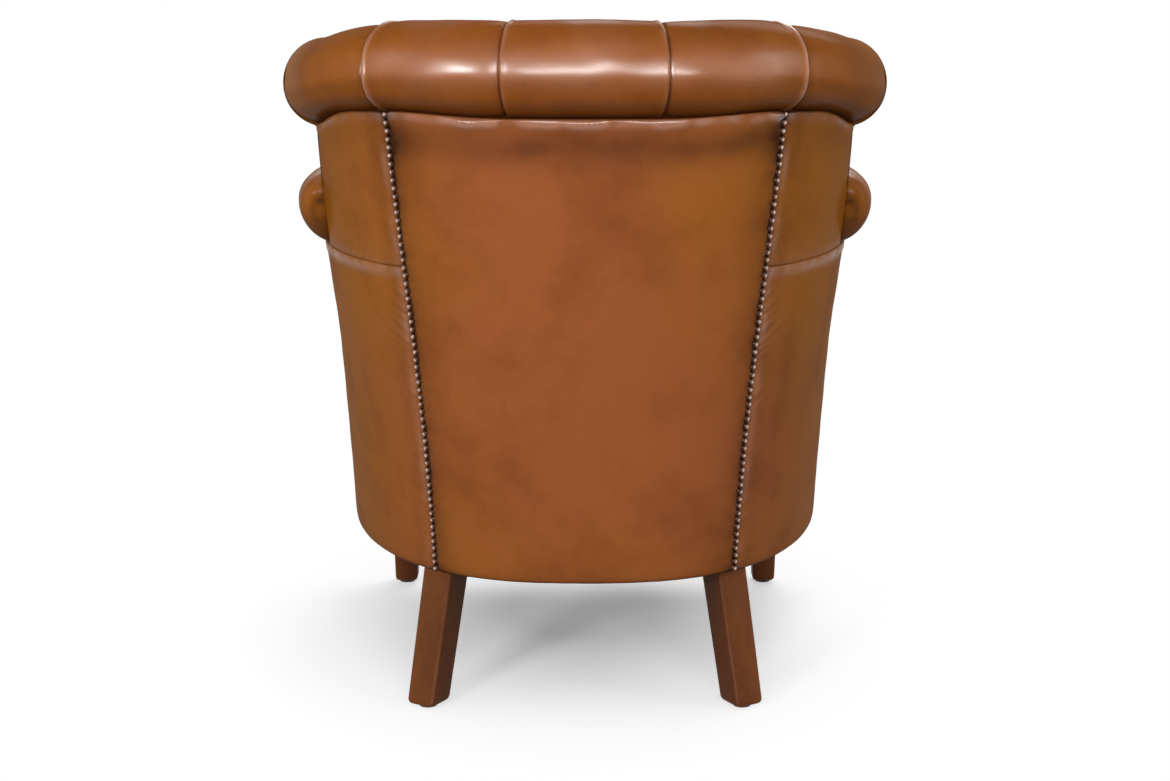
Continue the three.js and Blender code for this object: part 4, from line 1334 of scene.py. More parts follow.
@dataclass
class TuftedSkin:
    """Buttoned leather from behind the cushion up the padding and over a roll."""

    padding: Padding
    first: int = 0
    last: int = 8
    edge_width: float = 0.7
    low_row: float = 0.5
    row_pitch: float = 0.078
    top_row: int = 1
    bottom: float = 0.2795
    lower_reach: float = 1.4
    thickness: float = 0.003
    lower_steps: int = 12
    neck_steps: int = 10
    roll_steps: int = 60
    pleat_hollow: float = 0.0026
    pleat_sink: float = 0.001
    low_fade: float = 0.7
    neck_fade: float = 0.85
    neck_pitch: float | None = None
    button_seed: int = 7
    button_tilt: float = 0.03
    wear: float = 0.04
    wear_ripple: Ripple = Ripple(0.12, 32)
    tufts: Tufts = field(init=False)

    def station(self, column: Array) -> Array:
        """Station of lattice columns."""
        raise NotImplementedError

    def centre(self, station: Array) -> Array:
        """Height of the roll's middle at stations."""
        raise NotImplementedError

    def inset(self, station: Array, height: Array) -> Array:
        """Depth of the plain padding at stations and heights."""
        raise NotImplementedError

    def roll(self, column: Array, depth: float) -> list[Patch]:
        """The skin round the roll and down behind the panel below it."""
        raise NotImplementedError

    def unevenness(self, points: Array) -> Array | float:
        """How far the padding under the leather moves each point of a grid."""
        return 0.0

    def edge_share(self, column: Array) -> Array:
        """0 at the piece's ends and 1 away from them."""
        return ease(np.minimum(column - self.first, self.last - column) / self.edge_width)

    def wall(self, column: Array, depth: float) -> list[Patch]:
        """The skin from behind the cushion up to the roll.

        Args:
            column: Lattice columns of the grid lines, n by 1.
            depth: Depth under the leather's face.

        Returns:
            The rows behind the cushion, the rows of diamonds and the rows that open into pleats.
        """
        station, edge = self.station(column), self.edge_share(column)
        up = np.linspace(0, 1, self.lower_steps, endpoint=False)[None, :]
        under = -self.lower_reach * (1 - up)
        lattice = self.tufts.lines(0, self.top_row)[None, :]
        top = self.low_row + self.top_row * self.row_pitch
        on = np.linspace(0, 1, self.neck_steps + 1)[None, 1:]
        low_pleats, low_fold, _ = self.tufts.pleats(column, 0)
        low_pleats -= self.pleat_sink
        pleats, fold, _ = self.tufts.pleats(column, 1, self.pleat_hollow, self.neck_pitch)
        bands = (
            (under, mix(self.bottom, self.low_row, up), low_pleats, low_fold, ease(-under / self.low_fade)),
            (lattice, self.low_row + lattice * self.row_pitch, 0.0, 0.0, 0.0),
            (self.top_row + on, mix(top, self.centre(station), on), pleats, fold, ease(on / self.neck_fade)),
        )
        made = []
        for row, level, straight, straight_fold, share in bands:
            near, near_fold = self.tufts.diamonds(column, row)
            height = level + 0 * column
            inset = self.inset(station, height) + edge * mix(near, straight, share) - depth
            points = self.padding.tub.point(station, height, inset)
            made.append(Patch(points, edge * mix(near_fold, straight_fold, share)))
        return made

    def surface(self, column: Array, depth: float) -> Patch:
        """The whole skin at a depth under the leather's face, by its lattice columns."""
        return Patch.sewn(self.wall(column[:, None], depth) + self.roll(column[:, None], depth))

    def slanted(self, column: Array, rows: int) -> Array:
        """Which grid cells are split along their other diagonal, so that pleats follow edges.

        Args:
            column: Lattice columns of the grid lines.
            rows: How many grid rows there are.

        Returns:
            A table of columns - 1 by rows - 1 truth values.
        """
        row = np.full(rows, float(self.top_row))
        lattice = self.tufts.lines(0, self.top_row)
        row[: self.lower_steps] = -0.5
        row[self.lower_steps : self.lower_steps + len(lattice)] = lattice
        cell_column = np.floor((column[:-1] + column[1:]) / 2)
        cell_row = np.floor((row[:-1] + row[1:]) / 2)
        return np.mod(cell_column[:, None] + cell_row[None, :], 2) == 1

    def buttons(self) -> list[Form]:
        """The covered buttons.

        Returns:
            One form a button, each a little tilted in its dimple.
        """
        tub = self.padding.tub
        rng = np.random.default_rng(self.button_seed)
        button = CoveredButton().form()
        made = []
        for row in range(self.top_row + 1):
            height = self.low_row + row * self.row_pitch
            for number in range(self.first + 1, self.last):
                if (row + number) % 2 == 0:
                    column = np.array(float(number))
                    station = float(self.station(column))
                    off, _ = self.tufts.diamonds(column, np.array(float(row)))
                    inset = float(self.inset(station, height) + off * self.edge_share(column))
                    tilt = rng.normal(scale=self.button_tilt, size=3)
                    way = tilt - tub.outward(station, height, inset)
                    at = tub.point(station, height, inset)
                    made.append(stood_on(button, at, way, rng.uniform(0, math.pi)))
        return made

    def form(self) -> Form:
        """The whole skin.

        Returns:
            The skin with its buttons.
        """
        column = self.tufts.lines(self.first, self.last)
        face, inner = self.surface(column, 0.0), self.surface(column, self.thickness)
        outer = face.points + self.unevenness(face.points)
        rub = face.rub + self.wear * ease(self.wear_ripple.at(outer)) * (1 - face.fold)
        skin = shell(outer, inner.points, face.fold, rub, self.slanted(column, outer.shape[1]))
        return Form.joined([skin, *self.buttons()])


@dataclass
class TuftedBack(TuftedSkin):
    """Buttoned leather of the back, over the top roll."""

    first: int = -5
    last: int = 5
    edge_width: float = 0.8
    low_row: float = 0.53
    row_pitch: float = 0.08
    top_row: int = 3
    lower_reach: float = 1.6
    lower_steps: int = 14
    neck_steps: int = 12
    roll_steps: int = 90
    button_seed: int = 18
    wear_ripple: Ripple = Ripple(0.12, 31)
    lattice_depth: float = 0.07
    outer_column: float = 3
    outer_shift: float = 0.022
    lift_from: float = math.radians(170)
    flat_depth: float = 0.0011
    flat_angle: float = math.radians(173)
    flat_width: float = 0.25
    worn_width: float = 0.34
    worn_ripple: Ripple = Ripple(0.07, 33)
    fold_ripple: Ripple = Ripple(0.03, 35)
    rub_ripple: Ripple = Ripple(0.05, 36)
    broad: tuple[float, Ripple] = (0.0008, Ripple(0.16, 5))
    narrow: tuple[float, Ripple] = (0.0002, Ripple(0.05, 6))

    def __post_init__(self) -> None:
        """Works out the lattice's sizes."""
        tub, pad = self.padding.tub, self.padding
        self.column_share = tub.wing_station / self.last
        self.column_turn = self.column_share * QUARTER_TURN
        radius = tub.waist_half_width - pad.lumbar_inset + self.lattice_depth
        self.tufts = Tufts(self.column_turn * radius, self.row_pitch)
        self.neck_pitch = self.column_turn * (tub.bow_at_crease - pad.roll_inset - pad.roll_radius)

    def station(self, column: Array) -> Array:
        """Station of lattice columns."""
        return column * self.column_share

    def centre(self, station: Array) -> Array:
        """Height of the top roll's middle at stations."""
        return self.padding.roll_centre(station)

    def inset(self, station: Array, height: Array) -> Array:
        """Depth of the back's plain padding."""
        return self.padding.back_inset(station, height)

    def roll(self, column: Array, depth: float) -> list[Patch]:
        """The skin round the top roll and down behind the panel below it.

        Args:
            column: Lattice columns of the grid lines, n by 1.
            depth: Depth under the leather's face.

        Returns:
            The roll and the tuck behind the panel.
        """
        tub, pad = self.padding.tub, self.padding
        station, edge, off = self.station(column), self.edge_share(column), np.abs(column)
        angle = np.linspace(0, pad.crease_angle, self.roll_steps + 1)[None, 1:]
        pitch = self.column_turn * (tub.bow_at_crease - pad.roll_inset - pad.roll_radius * np.cos(angle))
        over, over_fold, over_rub = self.tufts.pleats(column, 1, self.pleat_hollow, pitch)
        flat = bell(angle - self.flat_angle, self.flat_width)
        radius = pad.roll_radius + edge * over - depth - self.flat_depth * flat
        drawn = self.outer_shift * bell(off - self.outer_column, 0.8) * ease((angle - 0.3) / 0.9)
        place = station - np.sign(column) * drawn
        lift = pad.rise(station) * ease((angle - self.lift_from) / (pad.crease_angle - self.lift_from))
        height = pad.roll_centre(station) + radius * np.sin(angle) + lift
        roll = tub.point(place, height, pad.roll_inset + radius * np.cos(angle))
        # painted shade on the roll's underside
        shade = self.aged(angle)
        uneven = np.clip(0.85 + 0.3 * self.fold_ripple.at(roll), 0.4, 1)
        fold = edge * over_fold * uneven * (1 - shade) + shade
        # painted highlight with some wear, in a band where the lamps reflect off the flattened back of the
        # roll
        worn = bell(angle - self.flat_angle, self.worn_width) * (0.8 + 0.3 * self.worn_ripple.at(roll))
        worn = worn * (0.44 + 0.14 * bell(column, 1.1)) * (1 - 0.95 * ease((off - 2.2) / 1.2))
        # painted highlight on the pleats' lips
        over_rub = edge * over_rub * ease((angle - 0.6) / 0.8) * (1 - 0.8 * shade)
        rub = np.maximum(over_rub * (0.9 + 0.5 * self.rub_ripple.at(roll)), worn)
        tuck = pad.tuck(place[:, -1:], pad.roll_crease(station) + pad.rise(station), depth)
        # the tuck behind the panel is painted in full shade
        return [Patch(roll, fold, rub), Patch(tuck, 1.0)]

    def aged(self, angle: Array) -> Array:
        """Painted shade of the roll's underside, darker towards the crease."""
        steps = ((178, 18, 0.36), (208, 22, 0.3), (232, 20, 0.3))
        return sum(mark * ease((angle - math.radians(a)) / math.radians(b)) for a, b, mark in steps)

    def unevenness(self, points: Array) -> Array | float:
        """Small rises and hollows of the padding under the leather.

        Args:
            points: Grid of points, columns by rows by 3.

        Returns:
            How far each point moves.
        """
        way = np.cross(np.gradient(points, axis=0), np.gradient(points, axis=1))
        way /= np.linalg.norm(way, axis=2, keepdims=True) + 1e-12
        height = sum(most * ripple.at(points) for most, ripple in (self.broad, self.narrow))
        edge = self.edge_share(np.linspace(self.first, self.last, points.shape[0]))
        return way * (height * edge[:, None])[:, :, None]

    def build(self, shop: Workshop) -> None:
        """Builds the skin with its buttons."""
        nodes = ["inside_back_cover", "back_foam", "top_roll_core"]
        shop.piece("tufted_back", self.form(), Slot.LEATHER, nodes, fill=0.85)


@dataclass
class TuftedArm(TuftedSkin):
    """Buttoned leather of one arm, over the arm roll and gathered at the wing."""

    end_rounding: float = 0.03
    end_least: float = 0.3
    end_turn: float = math.radians(70)
    pitch_share: float = 0.92
    shade_start: float = 0.62
    worn: float = 0.3
    worn_width: float = 0.5
    worn_ripple: Ripple = Ripple(0.07, 34)

    def __post_init__(self) -> None:
        """Works out the lattice's sizes."""
        tub = self.padding.tub
        self.start = tub.wing_station + tub.station_gap
        pitch = (2 - self.start) * QUARTER_TURN * tub.waist_half_width / self.last
        self.tufts = Tufts(pitch * self.pitch_share, self.row_pitch, puff=0.014, dip=0.011, level=0.6)

    def station(self, column: Array) -> Array:
        """Station of lattice columns."""
        return mix(self.start, 2, column / self.last)

    def centre(self, station: Array) -> Array:
        """Height of the arm roll's middle at stations."""
        return self.padding.arm_centre(station)

    def inset(self, station: Array, height: Array) -> Array:
        """Depth of the arm's plain padding."""
        return self.padding.arm_inset(station, height)

    def along(self, station: Array) -> Array:
        """Distance from the wing, 1 where the roll's rounded end stops."""
        return (station - self.start) / self.padding.tub.station_step(self.end_rounding)

    def roll_share(self, station: Array, angle: Array) -> Array:
        """Share of the arm roll's radius left near the wing."""
        dome = np.maximum(self.end_least, round_edge(self.along(station), 1))
        return mix(1, dome, ease(angle / self.end_turn))

    def roll(self, column: Array, depth: float) -> list[Patch]:
        """The skin round the arm roll and down behind the panel below it.

        Args:
            column: Lattice columns of the grid lines, n by 1.
            depth: Depth under the leather's face.

        Returns:
            The roll and the tuck behind the panel.
        """
        tub, pad = self.padding.tub, self.padding
        station, edge = self.station(column), self.edge_share(column)
        over, over_fold, over_rub = self.tufts.pleats(column, 1, self.pleat_hollow)
        angle = np.linspace(0, pad.arm_crease_angle, self.roll_steps + 1)[None, 1:]
        gather, gather_fold = self.gathers(station, angle)
        radius = (pad.arm_radius + edge * over) * self.roll_share(station, angle) - depth + gather
        height = pad.arm_centre(station) + radius * np.sin(angle)
        roll = tub.point(station, height, pad.arm_inset_of_roll + radius * np.cos(angle))
        shade = ease((angle / pad.arm_crease_angle - self.shade_start) / 0.3)
        fold = np.maximum(edge * over_fold + gather_fold, 0.7 * shade)
        # wear and a painted highlight along the top of the arm roll
        worn = self.worn * bell(angle - QUARTER_TURN, self.worn_width)
        worn = worn * (0.8 + 0.3 * self.worn_ripple.at(roll))
        rub = np.maximum(edge * over_rub * 0.4, worn)
        tuck = pad.tuck(station, pad.arm_crease(station), depth)
        return [Patch(roll, fold, rub), Patch(tuck, 1.0)]

    def gathers(self, station: Array, angle: Array) -> tuple[Array, Array]:
        """One long pleat round the roll where it is drawn in at the wing.

        Args:
            station: Stations of the points.
            angle: Angles round the roll.

        Returns:
            The height off the plain form, and the fold mark.
        """
        along = self.along(station)
        reach = bell(along, 1.1) * ease(angle / self.end_turn)
        line = along - 0.46 - 0.1 * np.sin(2.2 * angle)
        crest, hollow = bell(line, 0.09), bell(line + 0.2, 0.1)
        small = ease(np.cos(9 * angle + 0.8 * np.sin(3 * angle))) * bell(along, 0.35)
        # painted shade in the gathers' hollows, less on their crests
        fold = 0.3 + 0.4 * hollow + 0.3 * small - 0.3 * crest
        return reach * (0.0011 * (crest - 0.7 * hollow) - 0.0007 * small), fold * reach

    def build(self, shop: Workshop) -> None:
        """Builds the left arm and its mirror image.

        Args:
            shop: Makes the pieces.
        """
        form = self.form()
        for side in Side:
            nodes = [f"{name}_{side.word}" for name in ("inside_arm_cover", "arm_foam", "arm_roll_core")]
            shop.piece(f"tufted_arm_{side.word}", form.for_side(side), Slot.LEATHER, nodes, fill=0.85)


@dataclass(frozen=True)
class Edge:
    """What one edge of an outside panel looks like.

    The edge sinks by its depth over its radius. A ridge stands a little way in from it. Painted shade darkens
    the leather along the edge, a band of painted shadow may lie a little way off it, and the ridge is paler
    from wear and a painted highlight.
    """

    depth: float = 0.0034
    radius: float = 0.005
    ridge: float = 0.0
    ridge_at: float = 0.006
    ridge_width: float = 0.005
    rubbed: float = 0.5
    nailed: bool = False
    dark: float = 0.3
    haze: float = 0.0
    haze_at: float = 0.0
    haze_width: float = 0.035


@dataclass
class OutsidePanels:
    """Leather panels outside the back, wings and arms."""

    padding: Padding
    thickness: float = 0.0035
    crease_gap: float = 0.0008
    bulge: float = 0.0016
    seam_fall: float = 0.005
    seam_lap: float = 0.004
    swell: float = 0.0009
    grain: float = 0.00025
    skin: float = 0.0006
    behind_roll: float = 0.0022
    pucker_height: float = 0.0024
    pucker_pitch: float = 0.0021
    pucker_slant: float = 0.7
    pucker_reach: float = 0.013
    plain: Edge = Edge(dark=0.2)
    nailed: Edge = Edge(nailed=True, dark=0.2, haze=0.3)
    foot: Edge = Edge(radius=0.007, dark=0.4)
    over_seam: Edge = Edge(depth=0.0012, radius=0.002, dark=0.2)
    under_roll: Edge = Edge(
        depth=0.0014, radius=0.002, dark=0.14, haze=0.5, haze_at=0.036, haze_width=0.026,
        ridge=0.0034, ridge_at=0.0052, ridge_width=0.0076, rubbed=1.15,
    )
    wing_top: Edge = Edge(
        depth=0.0016, radius=0.003, dark=0.2, haze=0.2, haze_at=0.03,
        ridge=0.0022, ridge_width=0.008, rubbed=0.2,
    )
    arm_roll: Edge = Edge(
        depth=0.0016, radius=0.003, dark=0.2, ridge=0.0018, ridge_at=0.008, ridge_width=0.0075, rubbed=0.2
    )
    beside_nails: Edge = Edge(
        nailed=True, dark=0.25, haze=0.16, haze_at=0.026, haze_width=0.014,
        ridge=0.001, ridge_at=0.0075, ridge_width=0.0085, rubbed=0.24,
    )

    def relief(self, edge: Edge, gap: Array, beat: Array, base: Array, seed: int) -> tuple[Array, ...]:
        """How one edge shapes and marks the leather beside it.

        Args:
            edge: The edge.
            gap: Distance from it.
            beat: 1 level with a nail and 0 between two nails.
            base: The points themselves.
            seed: Seed of its unevenness.

        Returns:
            The depth that it adds, and the fold and rub marks.
        """
        ridged = edge.ridge > 0
        wave = np.clip(1 + 0.55 * Ripple(0.06, seed).at(base), 0.25, None)
        ridge = bell(gap - edge.ridge_at * (0.8 + 0.2 * wave), edge.ridge_width)
        pucker = Ripple(0.022, seed + 1).at(base * np.array([1.0, 1.0, 0.35]))
        depth = edge.depth * (1 - round_edge(gap, edge.radius)) - edge.ridge * ridge * wave
        depth += 0.16 * edge.ridge * pucker * fading(gap, 0.016)
        # painted shade along the edge
        fold = edge.dark * (fading(gap, 0.011) + 1.5 * fading(gap, 0.0022))
        # band of painted shadow a little way off the edge
        fold += edge.haze * bell(gap - edge.haze_at, edge.haze_width) * (0.85 + 0.25 * wave)
        # painted shade in the puckers
        fold += 0.2 * ridged * np.clip(pucker, 0, 1) * fading(gap, 0.014)
        # wear and a painted highlight on the ridge
        rub = ridged * edge.rubbed * bell(gap - edge.ridge_at, edge.ridge_width * 0.8) * wave
        rub *= np.clip(0.8 + 0.5 * pucker, 0.2, 1.4)
        if edge.nailed:
            drawn = Ripple(0.03, seed + 2).at(base * np.array([1, 1, 1.6]))
            depth += 0.0011 * fading(gap, 0.007) * (0.4 + 1.1 * beat) + 0.0008 * fading(gap, 0.018) * drawn
            # painted shade between the nails and in the drawn wrinkles
            fold += 0.25 * fading(gap, 0.006) * (1 - 0.5 * beat) + 0.12 * fading(gap, 0.02) * (drawn > 0)
        return depth, fold, rub

    @staticmethod
    def reached(limit: Limit, at: Array) -> Array | float:
        """A panel's limit at stations or heights."""
        return limit(at) if callable(limit) else limit

    def panel(
        self,
        limits: tuple[Limit, Limit, Limit, Limit],
        counts: tuple[int, int],
        edges: tuple[Edge, Edge, Edge, Edge],
        seed: int,
        proud: Callable[[Array, Array], Array] | None = None,
    ) -> Form:
        """One panel of the outside.

        Args:
            limits: Its first and last station by height, and its lowest and highest point by station.
            counts: Columns and rows of its grid.
            edges: Its first, last, lowest and highest edge.
            seed: Seed of its unevenness.
            proud: How far it stands proud at a station and height, or None.

        Returns:
            The panel's form.
        """
        tub = self.padding.tub
        first, last, lowest, highest = limits
        across = crowded(counts[0], 0.8)[:, None]
        upward = crowded(counts[1], 0.6)[None, :]
        height = mix(tub.base_height, tub.crease_height, upward) + 0 * across
        for _ in range(4):
            station = mix(self.reached(first, height), self.reached(last, height), across)
            height = mix(self.reached(lowest, station), self.reached(highest, station), upward)
        base = tub.point(station, height, 0.0)
        walked_x, walked_z = along_rows(base, 0), along_rows(base, 1)
        gaps = (walked_x, walked_x[-1:] - walked_x, walked_z, walked_z[:, -1:] - walked_z)
        nearest = np.minimum.reduce(gaps)
        inset = -self.bulge * (1 - fading(nearest, 0.05))
        inset -= self.swell * Ripple(0.2, seed).at(base) * (1 - fading(nearest, 0.03))
        inset -= self.grain * Ripple(0.05, seed + 5).at(base)
        fold, rub = np.zeros_like(inset), np.zeros_like(inset)
        beat = 0.5 + 0.5 * np.cos(2 * math.pi * height / NAIL_PITCH)
        for number, (edge, gap) in enumerate(zip(edges, gaps)):
            depth, dark, pale = self.relief(edge, gap, beat, base, seed + 7 * (number + 1))
            inset, fold, rub = inset + depth, fold + dark, rub + pale
        if proud is not None:
            raised = proud(station, height)
            inset = inset - raised
            # wear and a painted highlight on raised wrinkles
            rub = rub + 0.4 * np.clip(raised / 0.0016, 0, 1)
        behind = mix(self.behind_roll, self.thickness, ease((gaps[3] - 0.01) / 0.02))
        inner = tub.point(station, height, np.maximum(inset + self.skin, behind))
        return shell(tub.point(station, height, inset), inner, fold, rub)

    def seam(self, station: Array) -> Array:
        """Height of the seam under the wing, which falls a little towards the nails.

        Args:
            station: Stations along it.

        Returns:
            The height at each.
        """
        tub, pad = self.padding.tub, self.padding
        away = np.clip((tub.wing_station - station) / (tub.wing_station - tub.nail_top_station), 0, 1)
        return float(pad.arm_crease(tub.wing_station)) - self.seam_fall * away

    def puckers(self, station: Array, height: Array) -> Array:
        """Short slanting wrinkles beside the nails, below the corner where the seam meets them.

        Args:
            station: Stations of the points.
            height: Their heights.

        Returns:
            How far each point stands proud.
        """
        tub = self.padding.tub
        beside = (station - tub.nail_station(height)) * tub.wall_length
        below = self.seam(station) - height
        turn = (height - self.pucker_slant * beside) / self.pucker_pitch
        turn += 1.6 * np.sin(height / 0.019) + 0.9 * np.sin(height / 0.0071)
        reach = self.pucker_reach * (1 + 0.4 * np.sin(height / 0.013))
        fade = ease((below - 0.012) / 0.03) * fading(np.maximum(below, 0), 0.15)
        waves = self.pucker_height * (0.5 + 0.5 * np.cos(turn))
        return waves * fading(beside, reach) * ease(beside / 0.006) * fade

    def right_nails(self, height: Array) -> Array:
        """Station of the right nail line."""
        return -self.padding.tub.nail_station(height)

    def past_nails(self, height: Array) -> Array:
        """Station just past the left nail line."""
        return self.padding.tub.nail_station(height) + self.padding.tub.station_gap

    def crease(self, station: Array) -> Array:
        """Highest points of a panel that ends under the top roll."""
        return self.padding.roll_crease(station) + self.padding.rise(station) - self.crease_gap

    def arm_top(self, station: Array) -> Array:
        """Highest points of an arm panel, lapped by the wing panel behind the wing's front."""
        lapped, plain = self.seam(station) + self.seam_lap, self.padding.arm_crease(station) - self.crease_gap
        return np.where(station < self.padding.tub.wing_station, lapped, plain)

    def wing_lip(self, station: Array, height: Array) -> Array:
        """How far a wing panel stands proud over its seam."""
        return self.skin * fading(height - self.seam(station), 0.01)

    def lapped(self, station: Array, height: Array) -> Array:
        """How far an arm panel stands proud: sunk under the wing, wrinkled below it.

        Args:
            station: Stations of the points.
            height: Their heights.

        Returns:
            The distance at each.
        """
        above, wing = height - self.seam(station), self.padding.tub.wing_station
        under = ease((above + 0.0015) / 0.003) * (station < wing)
        ridge = bell(above + 0.01, 0.007) * (station < wing + 0.02)
        return 0.0008 * ridge - 0.003 * under + self.puckers(station, height)

    def build(self, shop: Workshop) -> None:
        """Builds the back panel, and the wing and arm panels of both sides.

        Args:
            shop: Makes the pieces.
        """
        tub = self.padding.tub
        back = self.panel(
            (self.right_nails, tub.nail_station, tub.base_height, self.crease),
            (150, 260),
            (self.nailed, self.nailed, self.foot, self.under_roll),
            11,
        )
        shop.piece("outside_back", back, Slot.HIDE, ["outside_back_panel"], fill=0.9)
        wing = self.panel(
            (self.past_nails, tub.wing_station, self.seam, self.crease),
            (80, 110),
            (self.beside_nails, self.plain, self.over_seam, self.wing_top),
            21,
            self.wing_lip,
        )
        arm = self.panel(
            (self.past_nails, 2.0, tub.base_height, self.arm_top),
            (190, 220),
            (self.beside_nails, self.plain, self.foot, self.arm_roll),
            31,
            self.lapped,
        )
        for side in Side:
            for name, form in (("wing", wing), ("arm", arm)):
                node = f"outside_{name}_panel_{side.word}"
                shop.piece(f"outside_{name}_{side.word}", form.for_side(side), Slot.HIDE, [node], fill=0.9)


@dataclass
class Nails:
    """Domed upholstery nails in close rows."""

    padding: Padding
    radius: float = 0.00475
    height: float = 0.0034
    shank: float = 0.0012
    below_crease: float = 0.0045
    proud: float = 0.0007
    width_share: float = 0.6
    steps: int = 18
    seed: int = 60

    def head(self) -> Form:
        """One nail head.

        Returns:
            The head, with its axis on Z and its rim at 0.
        """
        angles = np.linspace(0.0, 1.0, 6)[:-1] * QUARTER_TURN
        profile = [(0, -self.shank), (self.radius * 0.9, -self.shank), (self.radius, -self.shank / 4)]
        profile += [(self.radius * math.cos(a), self.height * math.sin(a)) for a in angles]
        made = turned_form([*profile, (0, self.height)], self.steps)
        away = np.hypot(made.points[:, 0], made.points[:, 1]) / self.radius
        # the bright crown is wear and a painted highlight
        made.rub = np.where(made.points[:, 2] > 0, ease(1.15 - 1.6 * away), 0.0)
        return made

    def row(self, places: Sequence[Place]) -> Form:
        """Heads set at places, each a little off true.

        Args:
            places: The point and the outward direction of each nail.

        Returns:
            The form of all the heads.
        """
        rng = np.random.default_rng(self.seed)
        head = self.head()
        made = []
        for at, outward in places:
            tilt = rng.normal(scale=0.07, size=3)
            off = rng.normal(scale=0.00018, size=3)
            made.append(stood_on(head, at + off, outward + tilt, rng.uniform(0, 2 * math.pi)))
        return Form.joined(made)

    def back_line(self) -> list[Place]:
        """Places of the nails down the left seam of the outside back.

        Returns:
            The point and the outward direction of each nail.
        """
        tub, pad = self.padding.tub, self.padding
        crease = pad.roll_crease(tub.nail_top_station) + pad.rise(tub.nail_top_station)
        heights = np.linspace(tub.base_height + self.radius, float(crease) - self.below_crease, 400)
        stations = (tub.nail_station(heights) + tub.station_gap / 2) * self.width_share
        line = evenly(np.stack([stations, heights], 1), NAIL_PITCH, False)
        spots = [(s / self.width_share, z, self.proud) for s, z in line]
        return [(tub.point(*spot), tub.outward(*spot)) for spot in spots]

    def build(self, shop: Workshop) -> None:
        """Builds the nail lines of both sides.

        Args:
            shop: Makes the pieces.
        """
        form = self.row(self.back_line())
        for side in Side:
            shop.piece(f"back_nails_{side.word}", form.for_side(side), Slot.BRASS, [f"nail_trim_{side.word}"])


@dataclass(frozen=True)
class Outline:
    """A closed line on a plan, n by 2."""

    ring: Array

    def anticlockwise(self) -> bool:
        """Whether it runs anticlockwise."""
        after = np.roll(self.ring, -1, axis=0)
        return bool((self.ring[:, 0] * after[:, 1] - after[:, 0] * self.ring[:, 1]).sum() > 0)

    def drawn_in(self, distance: float) -> Array:
        """The line moved inwards.

        Args:
            distance: How far it moves.

        Returns:
            Its points, n by 2.
        """
        ahead = np.roll(self.ring, -1, axis=0) - np.roll(self.ring, 1, axis=0)
        ahead /= np.linalg.norm(ahead, axis=1, keepdims=True)
        inward = np.stack([-ahead[:, 1], ahead[:, 0]], 1) * (1 if self.anticlockwise() else -1)
        return self.ring + inward * distance

    def contains(self, points: Array) -> Array:
        """Which points lie inside the line.

        Args:
            points: The points, n by 2.

        Returns:
            One truth value a point.
        """
        start, end = self.ring, np.roll(self.ring, -1, axis=0)
        x, y = points[:, :1], points[:, 1:]
        spans = (start[:, 1] > y) != (end[:, 1] > y)
        rise = np.where(end[:, 1] == start[:, 1], 1e-12, end[:, 1] - start[:, 1])
        crossing = start[:, 0] + (y - start[:, 1]) * (end[:, 0] - start[:, 0]) / rise
        return (spans & (x < crossing)).sum(1) % 2 == 1

    def distance(self, points: Array) -> Array:
        """Distance of points from the line.

        Args:
            points: The points, n by 2.

        Returns:
            One distance a point.
        """
        start = self.ring
        way = np.roll(start, -1, axis=0) - start
        length = np.maximum((way**2).sum(1), 1e-12)
        share = np.clip(((points[:, None] - start) * way).sum(2) / length, 0, 1)
        foot = start + share[:, :, None] * way
        return np.linalg.norm(points[:, None] - foot, axis=2).min(1)

    def pattern(self, spacing: float) -> Array:
        """Points of an even pattern that lie well inside the line.

        Args:
            spacing: Distance between them.

        Returns:
            The points, n by 2.
        """
        low, high = self.ring.min(0), self.ring.max(0)
        xs = np.arange(low[0], high[0], spacing)
        ys = np.arange(low[1], high[1], spacing * 0.866)
        grid = np.array([(x + spacing / 2 * (k % 2), y) for k, y in enumerate(ys) for x in xs])
        return grid[self.contains(grid) & (self.distance(grid) > spacing * 0.55)]


class Sheet:
    """Triangles that fill an outline on a plan, with openings."""

    def __init__(self, rings: Sequence[Outline], spacing: float) -> None:
        """Joins an even pattern of points.

        Args:
            rings: The outline, and then its openings.
            spacing: Distance between the points.
        """
        outline, *holes = rings
        pattern = outline.pattern(spacing)
        for hole in holes:
            pattern = pattern[~hole.contains(pattern) & (hole.distance(pattern) > 0.004)]
        starts = np.cumsum([0] + [len(line.ring) for line in rings])
        edges = [
            (int(start + k), int(start + (k + 1) % len(line.ring)))
            for line, start in zip(rings, starts)
            for k in range(len(line.ring))
        ]
        flat = np.concatenate([*(line.ring for line in rings), pattern])
        found = delaunay_2d_cdt([Vector(p) for p in flat], edges, [], 1, 1e-7)
        self.rings = rings
        self.points = np.array([tuple(p) for p in found[0]])
        self.faces = np.array([tuple(face) for face in found[2]])
        for hole in holes:
            self.faces = self.faces[~hole.contains(self.points[self.faces].mean(1))]
        self.gap = outline.distance(self.points)

    def plate(self, front: Array, back: Array) -> Form:
        """A closed form between two places of the sheet.

        Args:
            front: Where its points lie on the front, n by 3.
            back: Where they lie on the back.

        Returns:
            The form, with walls round its outline and its openings.
        """
        total = len(self.points)
        sides = []
        for line in self.rings:
            ids = np.array([int(np.argmin(((self.points - p) ** 2).sum(1))) for p in line.ring])
            after = np.roll(ids, -1)
            quads = np.stack([ids, ids + total, after + total, after], 1)
            outside = line is self.rings[0]
            sides.append(quads if line.anticlockwise() == outside else quads[:, ::-1])
        triangles = np.concatenate([self.faces, self.faces[:, ::-1] + total])
        return bare_form(np.concatenate([front, back]), np.concatenate(sides), triangles)


